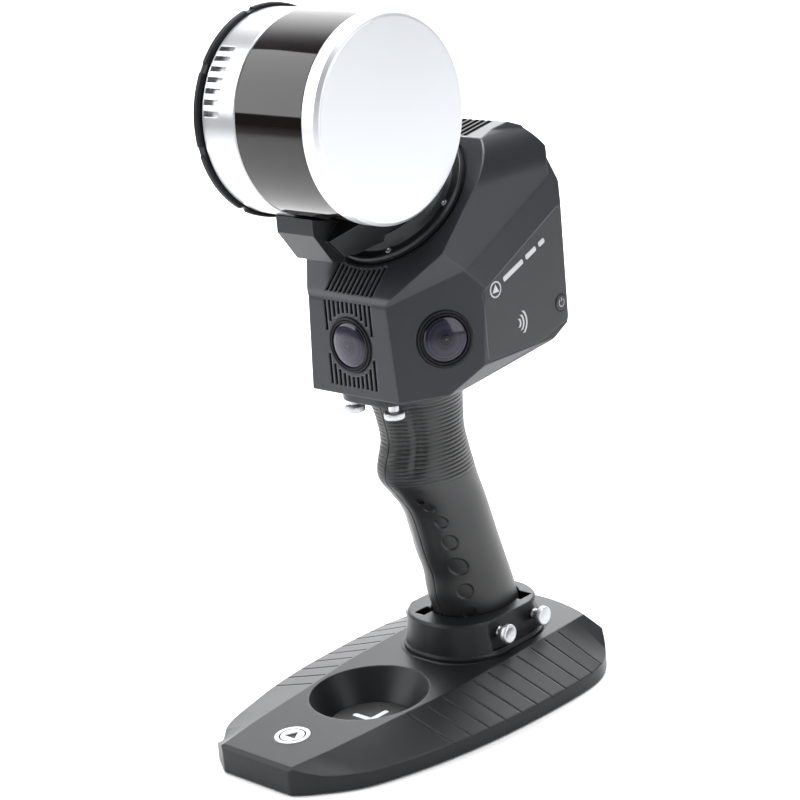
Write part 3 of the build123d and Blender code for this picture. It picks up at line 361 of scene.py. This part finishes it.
class ScannerSizes(bpy.types.PropertyGroup):
    """Sizes of the surface details."""
    rib_pitch: bpy.props.FloatProperty(
        name="Rib pitch", description="Spacing of the fine ribs on the grip", default=0.00215,
        min=0.001, max=0.01, unit="LENGTH")


# ------------------------------------------------------------------ pieces
# finish of every piece of the frame, by the step that builds it
PIECES = {
    "base": {"base_plate": "base_coat", "base_foot_pads": "grip_rubber", "well_floor_disc": "black_plastic",
             "target_cross": "mark_white", "base_badge": "mark_white", "collar": "base_coat",
             "collar_fixing_screws": "steel"},
    "thumbscrews": {
        "collar_thumb_screw_front_right": "silver_metal", "collar_thumb_screw_rear_right": "silver_metal",
        "collar_thumb_screw_front_left": "silver_metal", "collar_thumb_screw_rear_left": "silver_metal",
        "mount_thumb_screw_left": "silver_metal", "mount_thumb_screw_right": "silver_metal"},
    "handle": {"handle_shell_left": "grip_plastic", "handle_shell_right": "grip_plastic",
               "handle_back_strap": "grip_rubber", "handle_shell_screws": "steel",
               "battery_pack": "battery_wrap", "handle_end_cap": "black_plastic",
               "mount_plate": "body_coat"},
    "housing": {"main_housing": "body_coat", "bottom_cover": "black_plastic", "rear_cover": "panel_dark",
                "rear_connector_shell": "steel", "rear_connector_insert": "black_plastic",
                "top_heat_sink": "black_anodised", "side_panel_left": "panel_dark",
                "side_panel_right": "panel_dark", "side_markings": "mark_grey", "power_button": "panel_dark",
                "vent_screen": "black_plastic", "housing_screws": "steel"},
    "cameras": {"camera_front_barrel": "black_anodised", "camera_right_barrel": "black_anodised",
                "camera_left_barrel": "black_anodised", "camera_front_lens": "lens_glass",
                "camera_right_lens": "lens_glass", "camera_left_lens": "lens_glass",
                "camera_boards": "circuit_green"},
    "inside": {"main_board": "circuit_green", "inertial_unit": "black_anodised",
               "contactless_coil": "copper", "fan_frame": "black_plastic", "fan_rotor": "black_plastic",
               "bearing_outer_ring": "steel", "bearing_inner_ring": "steel", "bearing_balls": "steel",
               "head_motor_stator": "copper", "head_motor_rotor": "steel", "slip_ring": "black_plastic"},
    "head": {"turntable_disc": "head_grey", "turntable_screws": "steel", "head_bracket": "head_grey"},
    "lidar": {"lidar_back_plate": "black_anodised", "lidar_base_band": "silver_metal",
              "lidar_window": "window_black", "lidar_cap": "cap_metal", "lidar_rotor": "black_anodised",
              "lidar_optics": "black_plastic"},
}
# angle in degrees above which an edge is drawn hard
CREASE_FRAME = 28.0
CREASE_TURNED = 32.0
CREASE_GRIP = 50.0


def crease(obj, degrees):
    """Smooth shading that stays hard at sharp edges."""
    obj.data.shade_smooth()
    split = obj.modifiers.new("crease", "EDGE_SPLIT")
    split.split_angle = math.radians(degrees)


def paint(step):
    """Gives the frame's pieces of one step their finish."""
    for name, finish in PIECES[step].items():
        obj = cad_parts[name]
        obj.data.materials.clear()
        obj.data.materials.append(material(finish))
        crease(obj, CREASE_FRAME)


def place(point):
    """A point in metres from one in millimetres."""
    return Vector(point) * MM


def grid_object(name, strips, slot_name, body, closed=False, matrix=None, hard=CREASE_TURNED):
    """A piece from strips of rows of points in millimetres; closed rows go round it and have end faces."""
    bm = bmesh.new()
    for rows in strips:
        verts = [[bm.verts.new(place(point)) for point in row] for row in rows]
        wide = len(rows[0])
        for lower, upper in zip(verts, verts[1:]):
            for k in range(wide if closed else wide - 1):
                after = (k + 1) % wide
                bm.faces.new((lower[k], lower[after], upper[after], upper[k]))
        if closed:
            bm.faces.new(list(reversed(verts[0])))
            bm.faces.new(verts[-1])
    bmesh.ops.remove_doubles(bm, verts=bm.verts, dist=1e-6)
    bmesh.ops.recalc_face_normals(bm, faces=bm.faces)
    mesh = bpy.data.meshes.new(name)
    bm.to_mesh(mesh)
    bm.free()
    obj = bpy.data.objects.new(name, mesh)
    bpy.context.scene.collection.objects.link(obj)
    if matrix is not None:
        obj.matrix_world = matrix
    mesh.materials.append(material(slot_name))
    crease(obj, hard)
    bpy.context.view_layer.update()
    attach(obj, body)
    return obj


# knurl on the widest rows of a thumb screw: how deep, how many teeth, and from which radius
KNURL_DEPTH = 0.28
KNURL_TEETH = 36
KNURL_FROM = 5.3


def turned(name, profile, matrix, slot_name, body, sides, knurled=False):
    """A turned piece from a profile of radius and height in millimetres."""
    rows = []
    for radius, height in profile:
        row = []
        for k in range(sides):
            a = 2 * math.pi * k / sides
            r = radius
            if knurled and radius >= KNURL_FROM:
                r -= KNURL_DEPTH * (0.5 + 0.5 * math.cos(a * KNURL_TEETH))
            row.append((r * math.cos(a), r * math.sin(a), height))
        rows.append(row)
    return grid_object(name, [rows], slot_name, body, closed=True, matrix=matrix)


def axis_matrix(origin, direction):
    """Local Z runs along the direction from an origin in millimetres."""
    rot = Vector(direction).to_track_quat("Z", "Y").to_matrix().to_4x4()
    return Matrix.Translation(place(origin)) @ rot


def smooth(low, high, x):
    """0 below low, 1 above high, and a soft step between them."""
    t = min(1.0, max(0.0, (x - low) / (high - low)))
    return t * t * (3 - 2 * t)


def band(rise, fall, x):
    """1 between two limits, with a soft rise and a soft fall."""
    return smooth(*rise, x) * (1 - smooth(*fall, x))


# ------------------------------------------------------------------ thumb screws, in millimetres
SCREW_SIDES = 144
SCREW_NECK = 4.4
# inner tip of the collar's screws, and length of their thread
COLLAR_TIP_X = 21.4
COLLAR_TIP_Z = 31.5
COLLAR_ENDS = (("front", 74.0), ("rear", 103.0))
COLLAR_THREAD = 7.0
# upper tip of the mounting screws, and length of their thread
MOUNT_TIP = (14.0, 24.5, 181.5)
MOUNT_THREAD = 9.9


def thumb_screw(node_name, tip, direction, thread):
    """Silver thumb screw with a shoulder, a knurled rim and a slightly dished face."""
    head = thread + SCREW_NECK
    profile = [(0.2, 0.0), (2.2, 0.0), (2.45, 0.4), (2.45, thread), (3.1, thread), (3.1, thread + 0.6),
               (2.7, thread + 1.0), (2.7, head - 0.5), (3.6, head), (4.7, head), (5.05, head + 0.25),
               (5.35, head + 0.6), (5.35, head + 2.9), (5.05, head + 3.3), (4.7, head + 3.55),
               (4.1, head + 3.6), (3.6, head + 3.45), (0.2, head + 3.3)]
    body = node_name.replace("thumb_", "")
    obj = turned(node_name + "_turned", profile, axis_matrix(tip, direction), "silver_metal", body,
                 SCREW_SIDES, knurled=True)
    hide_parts(node_name)


# ------------------------------------------------------------------ grip, in millimetres and degrees
# sections from the bottom up: height, middle along y, half width, half depth
GRIP = ((22.4, 92.5, 20.3, 26.6), (32.0, 89.85, 20.3, 26.6), (42.0, 87.07, 20.3, 26.6),
        (52.0, 84.3, 20.3, 26.6), (64.0, 81.6, 20.1, 25.2), (77.0, 77.3, 20.0, 25.4),
        (102.0, 70.0, 19.8, 25.2), (115.0, 63.6, 19.8, 27.4), (125.0, 58.6, 20.0, 29.9),
        (132.0, 57.3, 20.0, 29.2), (145.0, 58.0, 19.6, 25.4), (157.0, 57.4, 20.0, 26.4),
        (171.5, 55.6, 22.5, 28.2))
GRIP_LOW = GRIP[0][0]
GRIP_HIGH = GRIP[-1][0]
# mean radius, which turns an angle round the grip into a length
GRIP_RADIUS = 22.5
ROW_STEP = 0.34

# fine ribs: heights and angles over which they start and end, depth, and valley as a share of half a pitch
RIB_RISE = (119.0, 125.0)
RIB_FALL = (166.0, 168.0)
RIB_FRONT = (3.0, 8.0)
RIB_BACK = (146.0, 152.0)
RIB_DEPTH = 0.42
RIB_VALLEY = 0.42
# finger grooves: angle, width, heights over which they start and end, depth
GROOVES = ((44.0, 8.5, (124.0, 134.0), (160.0, 171.0), 1.7),
           (26.0, 9.0, (70.0, 84.0), (108.0, 116.0), 0.5))
# round finger dimples: height, angle from the front, radius
DIMPLES = ((107.5, 34.0, 2.9), (98.0, 41.5, 3.5), (85.2, 44.5, 4.4), (70.0, 44.5, 5.3), (54.8, 45.0, 4.4),
           (41.5, 43.0, 3.4))
DIMPLE_REACH = 6.5
DIMPLE_DEPTH = 0.12
DIMPLE_TILT = 0.95
DIMPLE_FALL = (0.55, -0.83)
DIMPLE_LIP = (-0.2, 0.25)
# hole of the front shell screw
HOLE_HEIGHT = 112.2
HOLE_ANGLE = 29.5
HOLE_DEPTH = 3.0
HOLE_RIM = (1.7, 2.3)
# parting lines of the two shells
FRONT_SEAM = 0.25
REAR_SEAM = 179.8
SEAM_DEPTH = 0.25
SEAM_WIDTH = (0.4, 1.1)
# serrated strap let into the back
STRAP_ANGLE = 26.0
STRAP_LOW = 46.0
STRAP_HIGH = 158.0
STRAP_RISE = (50.0, 56.0)
STRAP_FALL = (160.0, 166.0)
STRAP_DEPTH = 0.75
STRAP_SINK = 0.1
STRAP_WALL = 2.6
STRAP_GAP = 0.5
STRAP_COLUMNS = 40
STRAP_STEP = (0.1, 1.4)
# walls of a shell at its front seam and at its rear edge, and the lip turned in at its lower end
SHELL_COLUMNS = 150
SHELL_FRONT_WALL = 2.4
SHELL_REAR_WALL = 3.2
LIP_ROWS = ((6.0, 3.4), (0.0, 3.0), (0.0, 0.8))
LIP_HEIGHT = 1.2


def grip_section(z):
    """Middle, half width and half depth of the grip at a height, by smooth interpolation."""
    heights = [row[0] for row in GRIP]
    z = min(max(z, GRIP_LOW), GRIP_HIGH)
    k = max(1, next(i for i, height in enumerate(heights) if height >= z))
    low, high = GRIP[k - 1], GRIP[k]
    before, after = GRIP[max(0, k - 2)], GRIP[min(len(GRIP) - 1, k + 1)]
    span = high[0] - low[0]
    t = (z - low[0]) / span
    t2 = t * t
    t3 = t2 * t
    section = []
    for c in (1, 2, 3):
        slope_low = (high[c] - before[c]) / (high[0] - before[0]) * span
        slope_high = (after[c] - low[c]) / (after[0] - low[0]) * span
        section.append((2 * t3 - 3 * t2 + 1) * low[c] + (t3 - 2 * t2 + t) * slope_low
                       + (3 * t2 - 2 * t3) * high[c] + (t3 - t2) * slope_high)
    return section


def grip_point(z, degrees, depth):
    """A point of the grip, a depth below its skin; 0 degrees is the front and 90 the right side."""
    middle, half_width, half_depth = grip_section(z)
    a = math.radians(degrees)
    skin = Vector((half_width * math.sin(a), middle - half_depth * math.cos(a)))
    outwards = Vector((math.sin(a) / half_width, -math.cos(a) / half_depth)).normalized()
    point = skin - outwards * depth
    return (point.x, point.y, z)


def rib_relief(z, side, pitch):
    zone = band(RIB_RISE, RIB_FALL, z) * band(RIB_FRONT, RIB_BACK, side)
    wave = abs(((z / pitch) % 1.0) - 0.5) * 2
    return RIB_DEPTH * zone * (1 - smooth(0.0, RIB_VALLEY, wave))


def groove_relief(z, side):
    return sum(depth * math.exp(-((side - angle) / width) ** 2) * band(rise, fall, z)
               for angle, width, rise, fall, depth in GROOVES)


def dimple_relief(z, side):
    """Shallow discs that sink towards their lower rear edge."""
    depth = 0.0
    for height, angle, radius in DIMPLES:
        u = math.radians(side - angle) * GRIP_RADIUS
        v = z - height
        if max(abs(u), abs(v)) > DIMPLE_REACH:
            continue
        tilt = 0.5 + 0.5 * (DIMPLE_FALL[0] * u + DIMPLE_FALL[1] * v) / radius
        inside = 1 - smooth(radius + DIMPLE_LIP[0], radius + DIMPLE_LIP[1], math.hypot(u, v))
        depth += (DIMPLE_DEPTH + DIMPLE_TILT * tilt) * inside
    return depth


def hole_relief(z, side):
    u = math.radians(side - HOLE_ANGLE) * GRIP_RADIUS
    return HOLE_DEPTH * (1 - smooth(*HOLE_RIM, math.hypot(u, z - HOLE_HEIGHT)))


def shell_relief(z, degrees, pitch):
    """Inward depth of ribs, finger grooves, dimples, screw hole and front seam."""
    side = abs(degrees)
    return (rib_relief(z, side, pitch) + groove_relief(z, side) + dimple_relief(z, side)
            + hole_relief(z, side) + SEAM_DEPTH * (1 - smooth(*SEAM_WIDTH, side)))


def strap_relief(z, pitch):
    """Depth of the saw teeth of the back strap."""
    wave = (z / pitch) % 1.0
    tooth = 1 - wave if wave > 0.25 else wave * 3
    return STRAP_DEPTH * band(STRAP_RISE, STRAP_FALL, z) * tooth


def grip_heights(low, high):
    """Heights of the rows, close enough for the fine ribs."""
    count = round((high - low) / ROW_STEP)
    return [low + (high - low) * k / count for k in range(count + 1)]


def shell_end(z):
    """Angle where a shell ends: beside the back strap, or at the rear seam above and below it."""
    near, far = STRAP_STEP
    beside = band((STRAP_LOW - far, STRAP_LOW - near), (STRAP_HIGH + near, STRAP_HIGH + far), z)
    return REAR_SEAM - (REAR_SEAM - (180.0 - STRAP_ANGLE)) * beside


def grip_shell(sign, pitch):
    """Rows of one shell, from the front seam to the back strap, with both edges turned inwards."""
    def row(z, depth_at):
        span = shell_end(z) - FRONT_SEAM
        angles = [sign * (FRONT_SEAM + span * k / SHELL_COLUMNS) for k in range(SHELL_COLUMNS + 1)]
        first = grip_point(z, angles[0], SHELL_FRONT_WALL)
        final = grip_point(z, angles[-1], SHELL_REAR_WALL)
        return [first] + [grip_point(z, a, depth_at(a)) for a in angles] + [final]

    rows = [row(GRIP_LOW + rise, lambda a: depth) for rise, depth in LIP_ROWS]
    for z in grip_heights(GRIP_LOW, GRIP_HIGH):
        lift = LIP_ROWS[-1][1] * (1 - smooth(GRIP_LOW, GRIP_LOW + LIP_HEIGHT, z))
        rows.append(row(z, lambda a: shell_relief(z, a, pitch) + lift))
    return rows


def back_strap(pitch):
    """Rows of the serrated strap at the back, closed on its inner side."""
    first = 180.0 - STRAP_ANGLE + STRAP_GAP
    span = 2 * (STRAP_ANGLE - STRAP_GAP)
    angles = [first + span * k / STRAP_COLUMNS for k in range(STRAP_COLUMNS + 1)]
    rows = []
    for z in grip_heights(STRAP_LOW, STRAP_HIGH):
        outer = [grip_point(z, a, STRAP_SINK + strap_relief(z, pitch)) for a in angles]
        rows.append([grip_point(z, angles[0], STRAP_WALL)] + outer + [grip_point(z, angles[-1], STRAP_WALL)])
    return rows


# socket screws that join the two shells: profile of radius and length, and the middle of their heads
SHELL_SCREW = ((0.3, 0.0), (1.2, 0.0), (1.25, 0.3), (1.25, 15.0), (2.3, 15.0), (2.4, 15.2), (2.4, 16.7),
               (2.2, 17.0), (1.2, 17.0), (1.15, 15.8), (0.2, 15.7))
SHELL_SCREW_LONG = 17.0
SHELL_SCREW_SIDES = 32
SHELL_SCREW_HEADS = ((7.2, 43.0, 113.0), (11.8, 75.0, 160.0))


def shell_screw(x, y, z):
    """Rows of one screw that lies along X and whose head ends at a point."""
    steps = [2 * math.pi * k / SHELL_SCREW_SIDES for k in range(SHELL_SCREW_SIDES)]
    return [[(x - SHELL_SCREW_LONG + along, y + r * math.cos(a), z + r * math.sin(a)) for a in steps]
            for r, along in SHELL_SCREW]


# ------------------------------------------------------------------ power button, in millimetres
# icon let into the button's face: y and z of its middle, its two faces along x, ring, gap and bar
BUTTON_AT = (114.8, 206.5)
ICON_LOW = 53.2
ICON_HIGH = 53.52
ICON_RING = (1.7, 2.35)
ICON_GAP = 38.0
ICON_STEPS = 48
ICON_BAR = (0.6, 2.8)
ICON_BAR_HALF = 0.32


def icon_section(inner, outer):
    """Closed row of the icon between two places on the button's face."""
    return ((ICON_LOW, *inner), (ICON_LOW, *outer), (ICON_HIGH, *outer), (ICON_HIGH, *inner))


def button_icon():
    """Strips of the open ring and of the bar of the power icon."""
    y, z = BUTTON_AT
    ring = []
    for k in range(ICON_STEPS + 1):
        a = math.radians(ICON_GAP + (360.0 - 2 * ICON_GAP) * k / ICON_STEPS)
        ring.append(icon_section(*[(y + r * math.sin(a), z + r * math.cos(a)) for r in ICON_RING]))
    bar = [icon_section((y - ICON_BAR_HALF, z + up), (y + ICON_BAR_HALF, z + up)) for up in ICON_BAR]
    return [ring, bar]


# ------------------------------------------------------------------ cameras, in millimetres
LENS_SIDES = 128
# ringed bezel and its barrel: radius, height above the camera's face
BEZEL = ((0.3, -19.0), (9.0, -19.0), (9.0, -5.0), (14.45, -5.0), (14.45, 0.5), (14.2, 0.85), (13.75, 0.95),
         (13.3, 0.7), (13.15, 0.2), (12.9, 0.1), (12.75, 0.9), (12.3, 1.15), (12.0, 0.95), (11.9, -0.4),
         (11.6, -1.2), (0.3, -1.2))
DOME_RIM = 11.85
DOME_RISE = 2.3
DOME_BACK = -1.1
DOME_STEPS = 26
# middle of the front camera, and of the side cameras before they are laid on their slanted facets
FRONT_AT = (0.0, 12.0, 204.0)
SIDE_AT = (42.7, 36.1, 206.1)
# a point of the right facet, and the turn and tilt of its outward direction
FACET_AT = (29.0, 12.0, 197.0)
FACET_YAW = math.radians(30.0)
FACET_PITCH = math.radians(3.5)


def camera_places():
    """Name, middle and outward direction of each camera."""
    places = [("front", FRONT_AT, (0, -1, 0))]
    for label, sign in SIDES:
        outwards = Vector((sign * math.cos(FACET_YAW) * math.cos(FACET_PITCH),
                           -math.sin(FACET_YAW) * math.cos(FACET_PITCH), math.sin(FACET_PITCH)))
        corner = Vector((sign * FACET_AT[0], *FACET_AT[1:]))
        at = Vector((sign * SIDE_AT[0], *SIDE_AT[1:]))
        places.append((label, at - outwards * (at - corner).dot(outwards), outwards))
    return places


def dome_profile():
    """Wide front lens, from its rim to its middle."""
    profile = [(0.3, DOME_BACK), (DOME_RIM, DOME_BACK), (DOME_RIM, 0.0)]
    for k in range(1, DOME_STEPS):
        a = k / DOME_STEPS * math.pi / 2
        profile.append((DOME_RIM * math.cos(a), DOME_RISE * math.sin(a)))
    return profile


# ------------------------------------------------------------------ operators for the pieces
class SCANNER_OT_base(bpy.types.Operator):
    """Ground base plate, its well, its collar and its badge."""
    bl_idname = "scanner.base"
    bl_label = "Ground base"

    def execute(self, context):
        paint("base")
        return {"FINISHED"}


class SCANNER_OT_thumbscrews(bpy.types.Operator):
    """Silver thumb screws of the collar and of the mounting plate."""
    bl_idname = "scanner.thumbscrews"
    bl_label = "Thumb screws"

    def execute(self, context):
        paint("thumbscrews")
        for side, sign in SIDES:
            for end, y in COLLAR_ENDS:
                thumb_screw("collar_thumb_screw_%s_%s" % (end, side), (sign * COLLAR_TIP_X, y, COLLAR_TIP_Z),
                            (sign, 0, 0), COLLAR_THREAD)
            thumb_screw("mount_thumb_screw_" + side, (sign * MOUNT_TIP[0], *MOUNT_TIP[1:]), (0, 0, -1),
                        MOUNT_THREAD)
        return {"FINISHED"}


class SCANNER_OT_handle(bpy.types.Operator):
    """Pistol grip with its shells, back strap, screws and mounting plate."""
    bl_idname = "scanner.handle"
    bl_label = "Handle"

    def execute(self, context):
        paint("handle")
        pitch = context.scene.scanner_sizes.rib_pitch / MM
        for side, sign in SIDES:
            shell = grid_object("grip_shell_" + side, [grip_shell(sign, pitch)], "grip_plastic", "scanner",
                                hard=CREASE_GRIP)
            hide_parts("handle_shell_" + side)
        strap = grid_object("grip_back_strap", [back_strap(pitch)], "grip_rubber", "scanner", closed=True,
                            hard=CREASE_GRIP)
        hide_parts("handle_back_strap")
        screws = grid_object("grip_shell_screws", [shell_screw(*head) for head in SHELL_SCREW_HEADS],
                             "steel", "scanner", closed=True)
        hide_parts("handle_shell_screws")
        return {"FINISHED"}


class SCANNER_OT_housing(bpy.types.Operator):
    """Camera housing with covers, panels, markings and power button."""
    bl_idname = "scanner.housing"
    bl_label = "Housing"

    def execute(self, context):
        paint("housing")
        grid_object("power_button_icon", button_icon(), "mark_grey", "power_key", closed=True)
        return {"FINISHED"}


class SCANNER_OT_cameras(bpy.types.Operator):
    """Three camera modules."""
    bl_idname = "scanner.cameras"
    bl_label = "Cameras"

    def execute(self, context):
        paint("cameras")
        for label, at, facing in camera_places():
            seat = axis_matrix(at, facing)
            barrel = turned("camera_%s_bezel" % label, BEZEL, seat, "black_anodised", "scanner", LENS_SIDES)
            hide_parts("camera_%s_barrel" % label)
            dome = turned("camera_%s_dome" % label, dome_profile(), seat, "lens_glass", "scanner",
                          LENS_SIDES)
            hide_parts("camera_%s_lens" % label)
        return {"FINISHED"}


class SCANNER_OT_inside(bpy.types.Operator):
    """Boards, fan, bearing and motor inside the housing."""
    bl_idname = "scanner.inside"
    bl_label = "Inside"

    def execute(self, context):
        paint("inside")
        return {"FINISHED"}


class SCANNER_OT_head(bpy.types.Operator):
    """Turntable and bracket of the rotating head."""
    bl_idname = "scanner.head"
    bl_label = "Rotating head"

    def execute(self, context):
        paint("head")
        return {"FINISHED"}


class SCANNER_OT_lidar(bpy.types.Operator):
    """Spinning lidar: back plate, band, window, cap and rotor."""
    bl_idname = "scanner.lidar"
    bl_label = "Lidar"

    def execute(self, context):
        paint("lidar")
        return {"FINISHED"}


# ------------------------------------------------------------------ stage, in metres and degrees
CAMERA_AT = (0.78948, -0.75826, 0.50691)
CAMERA_AZIMUTH = 44.55
CAMERA_ELEVATION = 16.85
CAMERA_ROLL = -5.32
CAMERA_LENS = 102.3
CAMERA_SENSOR = 36.0
CAMERA_FAR = 30.0
# floor that curves up into a wall behind the scanner: distance from the middle, height
FLOOR_PROFILE = ((-6.0, 0.0), (1.2, 0.0), (1.7, 0.12), (2.0, 0.45), (2.1, 1.0), (2.1, 4.0))
FLOOR_HALF = 6.0
MIDDLE = (0.0, 0.03, 0.20)
# soft lights: name, place, target, watts, width and height; the key card shows in the black window,
# and the wall light is turned away from the scanner
LIGHTS = (("key_card", (-1.05, -0.95, 1.05), MIDDLE, 24, (1.5, 1.3)),
          ("right_card", (1.75, 0.35, 0.75), MIDDLE, 13, (1.1, 1.3)),
          ("top_card", (0.15, 0.25, 1.9), MIDDLE, 15, (1.3, 1.3)),
          ("rim_card", (-0.9, 1.5, 0.9), MIDDLE, 9, (0.9, 1.2)),
          ("low_front", (0.9, -1.7, 0.35), MIDDLE, 4, (0.35, 1.0)),
          ("wall_light", (-0.4, 0.6, 2.4), (-1.6, 1.6, 0.6), 105, (1.8, 1.8)))
SKY_COLOUR = (0.93, 0.95, 1.0, 1)
SKY_STRENGTH = 0.16


def on_stage(name, data):
    """A new object of the stage."""
    obj = bpy.data.objects.new(name, data)
    bpy.context.scene.collection.objects.link(obj)
    return obj


def studio_floor():
    """Pale floor and wall, square to the main camera."""
    finish = surface("stage_floor", (0.93, 0.93, 0.935), rough=0.7, vary=0.015, scale=60, bump=0.02)
    azimuth = math.radians(CAMERA_AZIMUTH)
    away = Vector((-math.sin(azimuth), math.cos(azimuth), 0))
    across = Vector((away.y, -away.x, 0))
    bm = bmesh.new()
    rows = []
    for distance, height in FLOOR_PROFILE:
        middle = away * distance + Vector((0, 0, height))
        rows.append([bm.verts.new(middle + across * half) for half in (-FLOOR_HALF, FLOOR_HALF)])
    for near, far in zip(rows, rows[1:]):
        bm.faces.new((near[0], near[1], far[1], far[0]))
    bm.normal_update()
    mesh = bpy.data.meshes.new("stage_floor")
    bm.to_mesh(mesh)
    bm.free()
    mesh.materials.append(finish)
    mesh.shade_smooth()
    on_stage("stage_floor", mesh)


def studio_lights():
    """Soft cards round the scanner and a faint even sky."""
    for name, at, target, watts, (width, height) in LIGHTS:
        data = bpy.data.lights.new(name, "AREA")
        data.energy = watts
        data.shape = "RECTANGLE"
        data.size = width
        data.size_y = height
        light = on_stage(name, data)
        light.location = at
        light.rotation_euler = (Vector(target) - Vector(at)).to_track_quat("-Z", "Y").to_euler()
    world = bpy.data.worlds.new("studio")
    bpy.context.scene.world = world
    world.use_nodes = True
    sky = world.node_tree.nodes["Background"]
    sky.inputs["Color"].default_value = SKY_COLOUR
    sky.inputs["Strength"].default_value = SKY_STRENGTH


def main_camera():
    """Camera in front, to the right and a little above, slightly rolled."""
    data = bpy.data.cameras.new("camera")
    data.lens = CAMERA_LENS
    data.sensor_width = CAMERA_SENSOR
    data.clip_end = CAMERA_FAR
    camera = on_stage("camera", data)
    azimuth, elevation, roll = (math.radians(v) for v in (CAMERA_AZIMUTH, CAMERA_ELEVATION, CAMERA_ROLL))
    level = Vector((math.cos(azimuth), math.sin(azimuth), 0))
    back = Vector((math.sin(azimuth) * math.cos(elevation), -math.cos(azimuth) * math.cos(elevation),
                   math.sin(elevation)))
    above = back.cross(level)
    right = level * math.cos(roll) + above * math.sin(roll)
    up = -level * math.sin(roll) + above * math.cos(roll)
    camera.matrix_world = Matrix.Translation(CAMERA_AT) @ Matrix((right, up, back)).transposed().to_4x4()
    bpy.context.scene.camera = camera


class SCANNER_OT_stage(bpy.types.Operator):
    """Pale floor, soft studio lights and the camera."""
    bl_idname = "scanner.stage"
    bl_label = "Stage"

    def execute(self, context):
        studio_floor()
        studio_lights()
        main_camera()
        context.scene.view_settings.view_transform = "Standard"
        return {"FINISHED"}


# ------------------------------------------------------------------ add-on
STEPS = ("base", "thumbscrews", "handle", "housing", "cameras", "inside", "head", "lidar", "stage")
CLASSES = (ScannerColours, ScannerSizes, SCANNER_OT_base, SCANNER_OT_thumbscrews, SCANNER_OT_handle,
           SCANNER_OT_housing, SCANNER_OT_cameras, SCANNER_OT_inside, SCANNER_OT_head, SCANNER_OT_lidar,
           SCANNER_OT_stage)


class SCANNER_PT_panel(bpy.types.Panel):
    """Sidebar panel with the build steps and their settings."""
    bl_idname = "SCANNER_PT_panel"
    bl_label = "Scanner"
    bl_space_type = "VIEW_3D"
    bl_region_type = "UI"
    bl_category = "Scanner"

    def draw(self, context):
        column = self.layout.column()
        for step in STEPS:
            column.operator("scanner." + step)
        for setting in ("body", "base", "grip", "silver", "cap"):
            column.prop(context.scene.scanner_colours, setting)
        column.prop(context.scene.scanner_sizes, "rib_pitch")


def register():
    for cls in (*CLASSES, SCANNER_PT_panel):
        bpy.utils.register_class(cls)
    bpy.types.Scene.scanner_colours = bpy.props.PointerProperty(type=ScannerColours)
    bpy.types.Scene.scanner_sizes = bpy.props.PointerProperty(type=ScannerSizes)


def unregister():
    del bpy.types.Scene.scanner_sizes
    del bpy.types.Scene.scanner_colours
    for cls in reversed((*CLASSES, SCANNER_PT_panel)):
        bpy.utils.unregister_class(cls)


def main():
    register()
    for step in STEPS:
        getattr(bpy.ops.scanner, step)()


if __name__ == "__main__":
    main()
